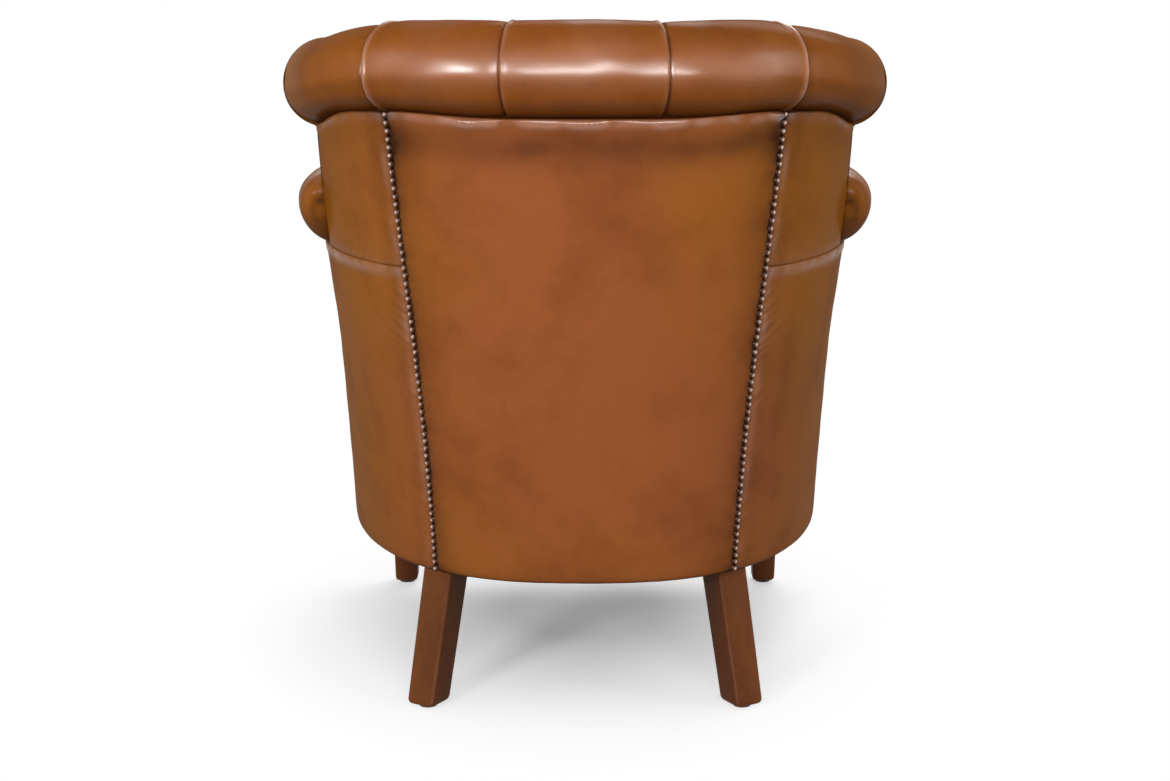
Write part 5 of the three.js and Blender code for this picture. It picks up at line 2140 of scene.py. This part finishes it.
@dataclass
class PaddedPlate:
    """A padded board with rounded edges, drawn on a plan and raised off it."""

    outline: Outline
    place: Callable[[Array, Array, Array], Array]
    thickness: float
    rounding: float
    puff: float
    spacing: float = 0.007

    def form(self) -> Form:
        """The plate's form.

        Returns:
            The form, closed at the back.
        """
        sheet = Sheet([self.outline], self.spacing)
        crown = self.puff * (1 - fading(sheet.gap, 0.03))
        raised = self.thickness * mix(0.35, 1, round_edge(sheet.gap, self.rounding)) + crown
        x, y = sheet.points.T
        made = sheet.plate(self.place(x, y, raised), self.place(x, y, 0 * raised))
        # painted shade along the edge, and wear with a painted highlight on its rounding
        made.fold = np.tile(0.75 * fading(sheet.gap, 0.0025) + 0.2 * fading(sheet.gap, 0.012), 2)
        made.rub = np.tile(0.5 * bell(sheet.gap - 0.006, 0.003), 2)
        return made


@dataclass
class Facings:
    """Padded fronts of the arms and wings, and the border under the seat."""

    padding: Padding
    arm: TuftedArm
    front_thickness: float = 0.009
    wing_thickness: float = 0.007
    border_thickness: float = 0.0085
    border_top: float = 0.2892
    arm_gap: float = 0.0005
    border_set_back: float = 0.0035
    rim_gap: float = 0.0008
    notch_steps: int = 24
    outline_step: float = 0.006
    rounding: float = 0.006
    wing_rounding: float = 0.005
    puff: float = 0.002
    border_puff: float = 0.0012
    nail_inset: float = 0.0085
    nail_start: float = 0.014
    border_nail_start: float = 0.009

    def arm_outline(self) -> Outline:
        """Outline of an arm front.

        Returns:
            The outline, in X and Z.
        """
        tub, pad = self.padding.tub, self.padding
        heights = np.linspace(tub.base_height, float(pad.arm_crease(2)) - self.rim_gap, 40)
        wall = np.stack([tub.outline(heights)[0], heights], 1)
        angles = np.linspace(pad.arm_crease_angle, 0, 60)[1:]
        half = float(tub.outline(np.array(pad.arm_height))[0])
        centre = float(pad.arm_centre(2))
        roll_x = half - pad.arm_inset_of_roll - pad.arm_radius * np.cos(angles)
        roll = np.stack([roll_x, centre + pad.arm_radius * np.sin(angles)], 1)
        falls = np.linspace(centre, pad.arm_pad_height, 20)[1:]
        inner = np.stack([tub.outline(falls)[0] - pad.arm_inset(2.0, falls), falls], 1)
        foot = np.array([[tub.waist_half_width - pad.arm_pad_inset, tub.base_height]])
        return Outline(evenly(np.concatenate([wall, roll, inner, foot]), self.outline_step, True))

    def wing_outline(self) -> Outline:
        """Outline of a wing front.

        Returns:
            The outline, in depth from the outside and height.
        """
        tub, pad = self.padding.tub, self.padding
        centre = float(pad.roll_centre(tub.wing_station))
        angles = np.linspace(0, pad.crease_angle, 60)
        roll_z = centre + pad.roll_radius * np.sin(angles)
        roll = np.stack([pad.roll_inset + pad.roll_radius * np.cos(angles), roll_z], 1)
        front = self.arm.start + tub.station_step(self.wing_thickness + self.rim_gap)
        least = pad.arm_radius * float(self.arm.roll_share(front, QUARTER_TURN)) + 2 * self.rim_gap
        turn = np.linspace(math.acos(-pad.arm_inset_of_roll / least), 0, self.notch_steps)
        notch = pad.arm_radius * self.arm.roll_share(front, turn) + 2 * self.rim_gap
        notch_z = pad.arm_height + notch * np.sin(turn)
        arm = np.stack([pad.arm_inset_of_roll + notch * np.cos(turn), notch_z], 1)
        heights = np.linspace(pad.arm_height, centre, 16)[1:-1]
        inner = np.stack([pad.wing_inset(heights), heights], 1)
        return Outline(evenly(np.concatenate([roll, arm, inner]), 0.005, True))

    def arm_point(self, x: Array, z: Array, raised: Array) -> Array:
        """Points of an arm front, by X, Z and height off its board."""
        tub = self.padding.tub
        return np.stack([x, -tub.front_of_arms - self.arm_gap + tub.shift - raised, z], -1)

    def wing_point(self, inset: Array, z: Array, raised: Array) -> Array:
        """Points of a wing front, by depth, Z and height off its board."""
        tub = self.padding.tub
        return tub.point(self.arm.start + tub.station_step(raised), z, inset)

    def border_point(self, x: Array, z: Array, raised: Array) -> Array:
        """Points of the border, by X, Z and height off its board."""
        tub = self.padding.tub
        return np.stack([x, -tub.front_of_arms + self.border_set_back + tub.shift - raised, z], -1)

    def build(self, shop: Workshop) -> None:
        """Builds the facings of both sides and the border.

        Args:
            shop: Makes the pieces.
        """
        forward = np.array([0, -1.0, 0])
        outline, nails = self.arm_outline(), Nails(self.padding)
        arm = PaddedPlate(outline, self.arm_point, self.front_thickness, self.rounding, self.puff)
        wing = PaddedPlate(
            self.wing_outline(), self.wing_point, self.wing_thickness, self.wing_rounding, self.puff
        )
        facings = (("arm", arm.form()), ("wing", wing.form()))
        line = evenly(outline.drawn_in(self.nail_inset), NAIL_PITCH, True)
        low = self.padding.tub.base_height + self.nail_start
        places = [(self.arm_point(x, z, self.front_thickness + 0.0003), forward) for x, z in line if z > low]
        trim = nails.row(places)
        for side in Side:
            for name, form in facings:
                node = f"{name}_front_facing_{side.word}"
                shop.piece(f"{name}_front_{side.word}", form.for_side(side), Slot.HIDE, [node], fill=0.8)
            shop.piece(f"arm_front_nails_{side.word}", trim.for_side(side), Slot.BRASS)
        self.build_border(shop, nails, forward)

    def build_border(self, shop: Workshop, nails: Nails, forward: Array) -> None:
        """Builds the border under the seat and its row of nails.

        Args:
            shop: Makes the pieces.
            nails: Sets the nails.
            forward: Direction that they face.
        """
        low = self.padding.tub.base_height
        half = self.padding.tub.waist_half_width - self.padding.arm_pad_inset - self.rim_gap
        corners = np.array([[-half, low], [half, low], [half, self.border_top], [-half, self.border_top]])
        outline = Outline(evenly(corners, self.outline_step, True))
        thickness = self.border_thickness
        border = PaddedPlate(outline, self.border_point, thickness, self.rounding, self.border_puff)
        nodes = ["front_border", "front_edge_roll"]
        shop.piece("seat_border", border.form(), Slot.HIDE, nodes, fill=0.8)
        end = half - self.border_nail_start
        xs = np.linspace(-end, end, round(2 * half / NAIL_PITCH))
        places = [(self.border_point(x, low + self.nail_inset, thickness + 0.0002), forward) for x in xs]
        shop.piece("seat_border_nails", nails.row(places), Slot.BRASS)


@dataclass
class SeatCushion:
    """Loose leather cushion with a crowned top, boxed sides and piped seams."""

    padding: Padding
    bottom: float = 0.2906
    side_height: float = 0.1255
    crown: float = 0.024
    clearance: float = 0.008
    drawn_in: float = 0.004
    front: float = -0.3575
    corner_radius: float = 0.026
    voxel: float = 0.0064
    pressure: float = 4.0
    frames: int = 20
    cap: float = 0.007
    seam_hold: float = 0.006
    piping: float = 0.0042
    ring_steps: int = 320
    seam_height: float = 0.004

    def ring(self, height: float, extra: float) -> Array:
        """Plan of the cushion at a height, evenly stepped.

        Args:
            height: The height.
            extra: How far the plan is drawn in.

        Returns:
            The ring, n by 3.
        """
        tub = self.padding.tub
        front = self.front + tub.shift + extra
        plan = self.padding.seat_outline(height, self.clearance + extra, front)
        radius = self.corner_radius
        turn = np.linspace(0, QUARTER_TURN, 10)
        right, left = plan[0], plan[-1]
        plan = plan[plan[:, 1] > front + radius]
        ahead, aside = radius - radius * np.cos(turn), radius - radius * np.sin(turn)
        near_left = np.stack([left[0] - ahead, front + aside], 1)
        near_right = np.stack([right[0] + aside, front + ahead], 1)
        line = evenly(np.concatenate([plan, near_left, near_right]), 0.006, True)
        return np.column_stack([line, np.full(len(line), height)])

    def start_form(self) -> Form:
        """The form that the simulation starts from.

        Returns:
            The form, closed.
        """
        top = self.bottom + self.side_height
        low, high = self.ring(self.bottom, 0.0), self.ring(top, 0.0)
        rings = [self.shrunk(low, share, self.bottom) for share in (0.96, 0.5, 0.0)]
        for share in (0.25, 0.5, 0.75):
            bowed = self.ring((self.bottom + top) / 2, self.drawn_in * math.sin(math.pi * share))
            rings.append(self.shrunk(bowed, 0.0, mix(self.bottom, top, share)))
        for share in (0.0, 0.04, 0.1, 0.2, 0.35, 0.55, 0.78, 0.96):
            rings.append(self.shrunk(high, share, top + self.crown * (1 - (1 - share) ** 2.4)))
        return stacked(np.array(rings), np.array([rings[0].mean(0), rings[-1].mean(0)]))

    def shrunk(self, ring: Array, share: float, height: float) -> Array:
        """A ring drawn towards its middle, with a fixed count of points.

        Args:
            ring: The ring, n by 3.
            share: How far it is drawn in, from 0 to 1.
            height: The height it is moved to.

        Returns:
            Its points.
        """
        length = np.linalg.norm(np.diff(np.concatenate([ring, ring[:1]]), axis=0), axis=1).sum()
        line = evenly(ring, length / self.ring_steps, True)[: self.ring_steps]
        made = mix(line, line.mean(0), share)
        made[:, 2] = height
        return made

    def build(self, shop: Workshop) -> None:
        """Builds the cushion and its piping.

        Args:
            shop: Makes the pieces.
        """
        made = put("seat_cushion", mesh_of("seat_cushion_start", self.start_form()))
        self.refine(made, "REMESH", {"mode": "VOXEL", "voxel_size": self.voxel, "use_smooth_shade": True})
        low = self.ring(self.bottom + self.seam_height, 0.0)
        high = self.ring(self.bottom + self.side_height, 0.0)
        self.swell(made, [low, high])
        self.refine(made, "SUBSURF", {"levels": 1, "render_levels": 1})
        points = self.points_of(made)
        # painted shade along the piped seams; paler and glossier towards the crown of the top
        fold = 0.9 * fading(self.seam_distance(points, [low, high]), 0.008)
        rub = 0.3 * ease((points[:, 2] - self.bottom - self.side_height) / self.crown)
        write_marks(made.data, fold, rub)
        nodes = ["seat_cushion_top", "seat_cushion_body", "seat_cushion_core"]
        shop.finish(made, Slot.LEATHER, nodes, "seat_cushion", 0.75)
        faces = [tuple(face.vertices) for face in made.data.polygons]
        surface = BVHTree.FromPolygons(points.tolist(), faces)
        for place, seam in (("low", low), ("high", high)):
            path = np.array([surface.find_nearest(Vector(p))[0] for p in evenly(seam, 0.005, True)])
            for _ in range(6):
                path = (np.roll(path, 1, axis=0) + 2 * path + np.roll(path, -1, axis=0)) / 4
            path[:, 2] = np.maximum(path[:, 2], self.bottom + self.piping)
            cord = cord_ring(path, self.piping, 10)
            cord.rub = np.full(len(cord.points), 0.45)
            shop.piece(f"seat_cushion_piping_{place}", cord, Slot.LEATHER, body="seat_cushion")

    def refine(self, made: bpy.types.Object, kind: str, settings: dict[str, object]) -> None:
        """Runs one modifier on an object and keeps its result.

        Args:
            made: The object.
            kind: Blender's type name of the modifier.
            settings: Its properties.
        """
        modifier = made.modifiers.new(kind.lower(), kind)
        for name, value in settings.items():
            setattr(modifier, name, value)
        self.apply(made)

    def apply(self, made: bpy.types.Object) -> None:
        """Turns an object's modifiers into its mesh.

        Args:
            made: The object.
        """
        graph = bpy.context.evaluated_depsgraph_get()
        mesh = bpy.data.meshes.new_from_object(made.evaluated_get(graph))
        made.modifiers.clear()
        made.data = mesh

    def points_of(self, made: bpy.types.Object) -> Array:
        """Points of an object's mesh.

        Args:
            made: The object.

        Returns:
            The points, n by 3.
        """
        flat = np.empty(len(made.data.vertices) * 3, np.float32)
        made.data.vertices.foreach_get("co", flat)
        return flat.reshape(-1, 3).astype(float)

    def seam_distance(self, points: Array, seams: Sequence[Array]) -> Array:
        """Distance of points from the nearest seam.

        Args:
            points: The points, n by 3.
            seams: The seams, each m by 3.

        Returns:
            One distance a point.
        """
        every = np.concatenate(seams)
        least = np.full(len(points), np.inf)
        for start in range(0, len(points), 4000):
            part = points[start : start + 4000]
            least[start : start + 4000] = np.linalg.norm(part[:, None] - every[None], axis=2).min(1)
        return least

    def swell(self, made: bpy.types.Object, seams: Sequence[Array]) -> None:
        """Blows the cushion up as cloth held at its seams and its bottom, with each point's way capped.

        Args:
            made: The remeshed cushion.
            seams: Its seams.
        """
        rest = self.points_of(made)
        near_seam = fading(self.seam_distance(rest, seams), self.seam_hold) > 0.45
        held = near_seam | (rest[:, 2] < self.bottom + self.seam_height)
        made.vertex_groups.new(name="held").add([int(k) for k in np.flatnonzero(held)], 1.0, "REPLACE")
        cloth = made.modifiers.new("cloth", "CLOTH")
        cloth.settings.effector_weights.gravity = 0
        settings = {
            "quality": 5,
            "mass": 0.4,
            "tension_stiffness": 12,
            "compression_stiffness": 12,
            "shear_stiffness": 4,
            "bending_stiffness": 0.8,
            "use_pressure": True,
            "uniform_pressure_force": self.pressure,
            "vertex_group_mass": "held",
            "pin_stiffness": 1.0,
            "shrink_min": -0.035,
        }
        for name, value in settings.items():
            setattr(cloth.settings, name, value)
        scene = bpy.context.scene
        cloth.point_cache.frame_start = 1
        cloth.point_cache.frame_end = self.frames
        for number in range(1, self.frames + 1):
            scene.frame_set(number)
        self.apply(made)
        scene.frame_set(1)
        moved = self.points_of(made) - rest
        length = np.linalg.norm(moved, axis=1, keepdims=True)
        moved *= np.minimum(1, self.cap / np.maximum(length, 1e-9))
        made.data.vertices.foreach_set("co", (rest + moved).astype(np.float32).ravel())
        made.vertex_groups.clear()
        most, capped = 1000 * float(length.max()), 100 * float((length > self.cap).mean())
        LOG.info(
            "cushion swelled by up to %.1f mm, then capped at %.1f mm, on %.0f%% of its points",
            most, 1000 * self.cap, capped,
        )


@dataclass
class Legs:
    """Tapered square legs with softened corners and feet."""

    padding: Padding
    rear_widths: tuple[float, float] = (0.046, 0.042)
    front_widths: tuple[float, float] = (0.044, 0.035)
    corner: float = 0.0045
    top_height: float = 0.1775
    bottom_height: float = 0.0035
    foot_rounding: float = 0.007
    rear_station: float = 0.243
    rear_inset: float = 0.036
    rear_turn: float = math.radians(-31)
    rear_foot: tuple[float, float] = (0.023, 0.075)
    front_place: tuple[float, float] = (0.289, -0.285)
    opening_gap: float = 0.0015
    steps: int = 24

    def section(self, width: float) -> Array:
        """Rounded square of a width, n by 2.

        Args:
            width: Its width.

        Returns:
            Points that go round it.
        """
        inner = width / 2 - self.corner
        turns = np.linspace(0, QUARTER_TURN, 6)
        points = []
        for k, (sx, sy) in enumerate(((1, 1), (-1, 1), (-1, -1), (1, -1))):
            angle = turns + k * QUARTER_TURN
            corner = self.corner * np.stack([np.cos(angle), np.sin(angle)], 1)
            points.append(corner + np.array([sx, sy]) * inner)
        return np.concatenate(points)

    def leg(self, top: Array, foot: Array, widths: tuple[float, float], turn: float) -> Form:
        """One leg.

        Args:
            top: Middle of its top, X and Y.
            foot: Middle of its foot, X and Y.
            widths: Its width at the top and at the foot.
            turn: Angle of its sides.

        Returns:
            The leg's form.
        """
        rounding = np.linspace(0, QUARTER_TURN, 7)
        lows = self.bottom_height + self.foot_rounding * (1 - np.sin(rounding))
        heights = np.concatenate([np.linspace(self.top_height, lows[0], self.steps)[:-1], lows])
        drawn = np.concatenate([np.zeros(self.steps - 1), self.foot_rounding * (1 - np.cos(rounding))])
        share = (self.top_height - heights) / (self.top_height - self.bottom_height)
        rings, inner = [], []
        for height, at, less in zip(heights, share, drawn):
            width = mix(*widths, at)
            flat = self.section(width) * (1 - 2 * less / width) @ spun(turn).T
            rings.append(np.column_stack([flat + mix(top, foot, at), np.full(len(flat), height)]))
            # painted shade on the inner faces, most near the top under the seat
            inner.append(ease(0.1 - 2.4 * flat[:, 0] / width) * (0.5 + 0.5 * math.exp(-at / 0.3)))
        made = stacked(np.array(rings), np.array([rings[0].mean(0), rings[-1].mean(0)]))
        corner_share = np.abs(np.sin(2 * np.linspace(0, 2 * math.pi, len(rings[0]))))
        # wear and a painted highlight on the corners
        made.rub = np.concatenate([0.6 * np.tile(corner_share, len(rings)), [0, 0]])
        made.fold = np.concatenate([*inner, [0, 0]])
        return made

    def rear_top(self) -> Array:
        """Middle of the left rear leg's top, X and Y."""
        tub = self.padding.tub
        return tub.point(self.rear_station, tub.base_height, self.rear_inset)[:2]

    def front_top(self) -> Array:
        """Middle of the left front leg's top, X and Y."""
        return np.array([self.front_place[0], self.front_place[1] + self.padding.tub.shift])

    def openings(self) -> list[Array]:
        """Outlines of the holes that the legs need in the cloth under the seat.

        Returns:
            The rings, n by 2 each.
        """
        square = np.array([[1, 1], [-1, 1], [-1, -1], [1, -1]])
        rear = (self.rear_top(), self.rear_turn, self.rear_widths[0])
        rings = []
        for at, turn, width in (rear, (self.front_top(), 0.0, self.front_widths[0])):
            ring = evenly(square * (width / 2 + self.opening_gap) @ spun(turn).T + at, 0.006, True)
            rings += [ring, ring * np.array([-1, 1])]
        return rings

    def build(self, shop: Workshop) -> None:
        """Builds the four legs and dresses their glides.

        Args:
            shop: Makes the pieces.
        """
        top, place = self.rear_top(), self.front_top()
        rear = self.leg(top, top + np.array(self.rear_foot), self.rear_widths, self.rear_turn)
        front = self.leg(place, place, self.front_widths, 0.0)
        for side in Side:
            for end, form in (("rear", rear), ("front", front)):
                node = f"{end}_leg_{side.word}"
                shop.piece(f"{end}_leg_of_{side.word}", form.for_side(side), Slot.WOOD, [node])
        glides = [f"{end}_foot_glide_{side.word}" for end in ("rear", "front") for side in Side]
        shop.dress(glides, Slot.NYLON)


@dataclass
class SeatBase:
    """Cloth deck under the cushion, webbing of the back and dust cover under the seat."""

    padding: Padding
    legs: Legs
    deck_top: float = 0.29
    deck_thickness: float = 0.012
    deck_front: float = -0.341
    dust_height: float = 0.1764
    dust_thickness: float = 0.001
    dust_inset: float = 0.012
    webbing_inset: float = 0.025
    webbing_width: float = 0.05
    webbing_spacing: float = 0.092
    webbing_thickness: float = 0.0016
    webbing_border: float = 0.0003
    seam_from_front: float = 0.11
    deck_gap: float = 0.0012
    dust_sag: float = 0.0006

    def deck_point(self, x: Array, y: Array, raised: Array) -> Array:
        """Points of the deck, by X, Y and height off its underside, with a seam across it."""
        seam = bell(y - (self.deck_front + self.padding.tub.shift + self.seam_from_front), 0.004)
        return np.stack([x, y, self.deck_top - self.deck_thickness + raised * (1 - 0.12 * seam)], -1)

    def deck(self) -> Form:
        """Deck with rounded edges.

        Returns:
            The deck's form.
        """
        low = self.deck_top - self.deck_thickness
        plan = self.padding.seat_outline(low, self.deck_gap, self.deck_front + self.padding.tub.shift)
        outline = Outline(evenly(plan, 0.01, True))
        return PaddedPlate(outline, self.deck_point, self.deck_thickness, 0.008, -0.0006, 0.013).form()

    def dust_cover(self) -> Form:
        """Thin cloth under the seat, cut out round the legs.

        Returns:
            The cloth's form.
        """
        tub = self.padding.tub
        station = np.concatenate([[-2], np.linspace(-1, 1, 61), [2]])
        plan = tub.point(station, tub.base_height, self.dust_inset)[:, :2]
        plan[[0, -1], 1] += self.dust_inset
        rings = [evenly(plan, 0.012, True), *self.legs.openings()]
        sheet = Sheet([Outline(ring) for ring in rings], 0.018)
        high = np.full(len(sheet.points), self.dust_height + self.dust_thickness)
        low = self.dust_height - self.dust_sag * (1 - fading(sheet.gap, 0.05))
        return sheet.plate(np.column_stack([sheet.points, high]), np.column_stack([sheet.points, low]))

    def strap(self, number: int) -> Form:
        """An upright webbing strap with thicker borders.

        Args:
            number: Which strap it is, counted from the right.

        Returns:
            The strap's form.
        """
        low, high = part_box(f"back_webbing_{number}")
        tub = self.padding.tub
        per_metre = 1 / (tub.bow_at_crease * QUARTER_TURN)
        middle = (number - 2) * self.webbing_spacing * per_metre
        across = np.linspace(-0.5, 0.5, 14)
        station = middle + across * self.webbing_width * per_metre
        height = np.linspace(low.z, high.z, 60)
        grid_s, grid_z = np.meshgrid(station, height, indexing="ij")
        edge = self.webbing_border * bell(0.5 - np.abs(across), 0.08)[:, None]
        outer = tub.point(grid_s, grid_z, self.webbing_inset - edge)
        return shell(outer, tub.point(grid_s, grid_z, self.webbing_inset + self.webbing_thickness + edge))

    def build(self, shop: Workshop) -> None:
        """Builds the cloth pieces of the seat and the back.

        Args:
            shop: Makes the pieces.
        """
        shop.piece("seat_deck_cloth", self.deck(), Slot.CLOTH, ["seat_deck"], fill=0.7)
        shop.piece("dust_cloth", self.dust_cover(), Slot.CLOTH, ["dust_cover"])
        for number in (1, 2, 3):
            strap = self.strap(number)
            shop.piece(f"back_strap_{number}", strap, Slot.WEBBING, [f"back_webbing_{number}"])


@dataclass
class Frame:
    """Wooden frame and springs, which keep their CAD shape."""

    pairs: tuple[str, ...] = (
        "side_seat_rail", "rear_corner_block", "front_corner_block",
        "back_post", "wing_post", "arm_post", "arm_rail",
    )
    singles: tuple[str, ...] = ("front_seat_rail", "rear_seat_rail", "crest_rail", "back_tack_rail")
    springs: tuple[str, ...] = ("seat_spring_1", "seat_spring_2", "seat_spring_3", "seat_spring_4")

    def build(self, shop: Workshop) -> None:
        """Dresses the frame and the springs.

        Args:
            shop: Holds the finishes.
        """
        wood = [f"{name}_{side.word}" for name in self.pairs for side in Side]
        shop.dress([*self.singles, *wood], Slot.BEECH)
        shop.dress(self.springs, Slot.STEEL)


@dataclass(frozen=True)
class Lamp:
    """A soft rectangular lamp that looks at the chair."""

    name: str
    azimuth: float
    elevation: float
    distance: float
    size: tuple[float, float]
    power: float
    target: tuple[float, float, float] = (0.0, 0.0, 0.5)

    def build(self) -> None:
        """Adds the lamp."""
        light = bpy.data.lights.new(self.name, "AREA")
        light.shape = "RECTANGLE"
        light.size, light.size_y = self.size
        light.energy = self.power
        made = put(self.name, light)
        turn, rise = math.radians(self.azimuth), math.radians(self.elevation)
        way = Vector((math.sin(turn) * math.cos(rise), math.cos(turn) * math.cos(rise), math.sin(rise)))
        made.location = Vector(self.target) + way * self.distance
        made.rotation_euler = (-way).to_track_quat("-Z", "Y").to_euler()


@dataclass
class Studio:
    """Pale floor, soft lamps, white surroundings and the camera."""

    shift: float
    camera_place: tuple[float, float, float] = (0.0, 2.7266, 0.9262)
    camera_pitch: float = 11.467
    lens: float = 59.23
    sensor: float = 36.0
    floor_size: float = 14.0
    floor_tone: float = 0.4
    floor_shown: float = 1.5
    floor_whole: tuple[float, float] = (0.14, 0.66)
    floor_middle: tuple[float, float, float] = (0.0, -0.2, 0.0)
    horizon: float = 0.2
    zenith: float = 0.2
    lamps: tuple[Lamp, ...] = (
        Lamp("key_softbox", 32, 10.5, 3.3, (0.72, 0.3), 32),
        Lamp("rear_strip", -5, 11, 3.3, (2.2, 0.34), 40),
        Lamp("left_fill", 78, 18, 3.0, (2.4, 2.0), 9),
        Lamp("right_fill", -80, 18, 3.0, (2.4, 2.0), 15),
        Lamp("top_softbox", 20, 72, 2.6, (2.4, 2.0), 6),
        Lamp("front_softbox", 200, 46, 3.2, (2.2, 1.4), 46),
    )

    def floor_material(self) -> bpy.types.Material:
        """Paint of the floor, seen as white where no shadow falls on it.

        Returns:
            The finished material.
        """
        graph = Graph.of_material("floor_paint")
        seen = graph.ray("Camera", "Glossy", "Transmission")
        grain = graph.noise(3.0, 2.0, 0.5)
        tone = graph.blend((self.floor_tone,) * 3 + (1,), (self.floor_shown,) * 3 + (1,), seen)
        colour = graph.blend(tone, (0.78, 0.78, 0.79, 1), (grain - 0.5).held() * 0.02)
        offset = {0: graph.place((1.25, 1, 1)), 1: self.floor_middle}
        away = graph.node("ShaderNodeVectorMath", {"operation": "DISTANCE"}, offset)
        start, end = self.floor_whole
        far = ((graph.output(away, "Value") - start) * (1 / (end - start))).held()
        paint = graph.shader("BsdfDiffuse", {"Color": colour})
        white = graph.shader("Emission", {"Color": WHITE, "Strength": 1.0})
        return graph.end(graph.shader("MixShader", {0: far * seen, 1: paint, 2: white}))

    def build_floor(self) -> None:
        """Adds the floor."""
        half = self.floor_size / 2
        corners = [(-half, -half, 0), (half, -half, 0), (half, half, 0), (-half, half, 0)]
        mesh = bpy.data.meshes.new("floor")
        mesh.from_pydata(corners, [], [(0, 1, 2, 3)])
        mesh.materials.append(self.floor_material())
        put("floor", mesh)

    def build_world(self) -> None:
        """Sets dim surroundings that are seen as white."""
        bpy.context.scene.world = bpy.data.worlds.new("surroundings")
        graph = Graph(bpy.context.scene.world)
        way = graph.output(graph.node("ShaderNodeTexCoord"), "Generated")
        height = graph.output(graph.node("ShaderNodeSeparateXYZ", inputs={0: way}), "Z")
        low, high, white = (
            graph.shader("Background", {"Color": WHITE, "Strength": strength})
            for strength in (self.horizon, self.zenith, 1.0)
        )
        around = graph.shader("MixShader", {0: height.held(), 1: low, 2: high})
        seen = graph.ray("Camera", "Glossy", "Transmission")
        graph.end(graph.shader("MixShader", {0: seen, 1: around, 2: white}))

    def build_camera(self) -> None:
        """Adds the camera at the photograph's place."""
        data = bpy.data.cameras.new("camera")
        data.lens = self.lens
        data.sensor_width = self.sensor
        data.sensor_fit = "HORIZONTAL"
        camera = put("camera", data)
        camera.location = Vector(self.camera_place) + Vector((0, self.shift, 0))
        camera.rotation_euler = (math.radians(90 - self.camera_pitch), 0, math.pi)
        bpy.context.scene.camera = camera

    def build(self) -> None:
        """Builds the whole studio."""
        self.build_floor()
        self.build_world()
        self.build_camera()
        for lamp in self.lamps:
            lamp.build()
        bpy.context.scene.view_settings.view_transform = "Standard"


def write_sizes() -> None:
    """Updates the view layer, so that every piece stands where it was put."""
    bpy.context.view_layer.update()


def main() -> None:
    """Builds the chair's pieces in order, and the studio round them."""
    logging.basicConfig(level=logging.INFO, format="%(name)s: %(message)s")
    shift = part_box("front_seat_rail")[1].y - RAIL_BACK
    padding = Padding(Tub(shift))
    shop = Workshop()
    arm = TuftedArm(padding)
    legs = Legs(padding)
    Frame().build(shop)
    TuftedBack(padding).build(shop)
    arm.build(shop)
    OutsidePanels(padding).build(shop)
    Nails(padding).build(shop)
    Facings(padding, arm).build(shop)
    SeatCushion(padding).build(shop)
    legs.build(shop)
    SeatBase(padding, legs).build(shop)
    Studio(shift).build()
    write_sizes()


if __name__ == "__main__":
    main()
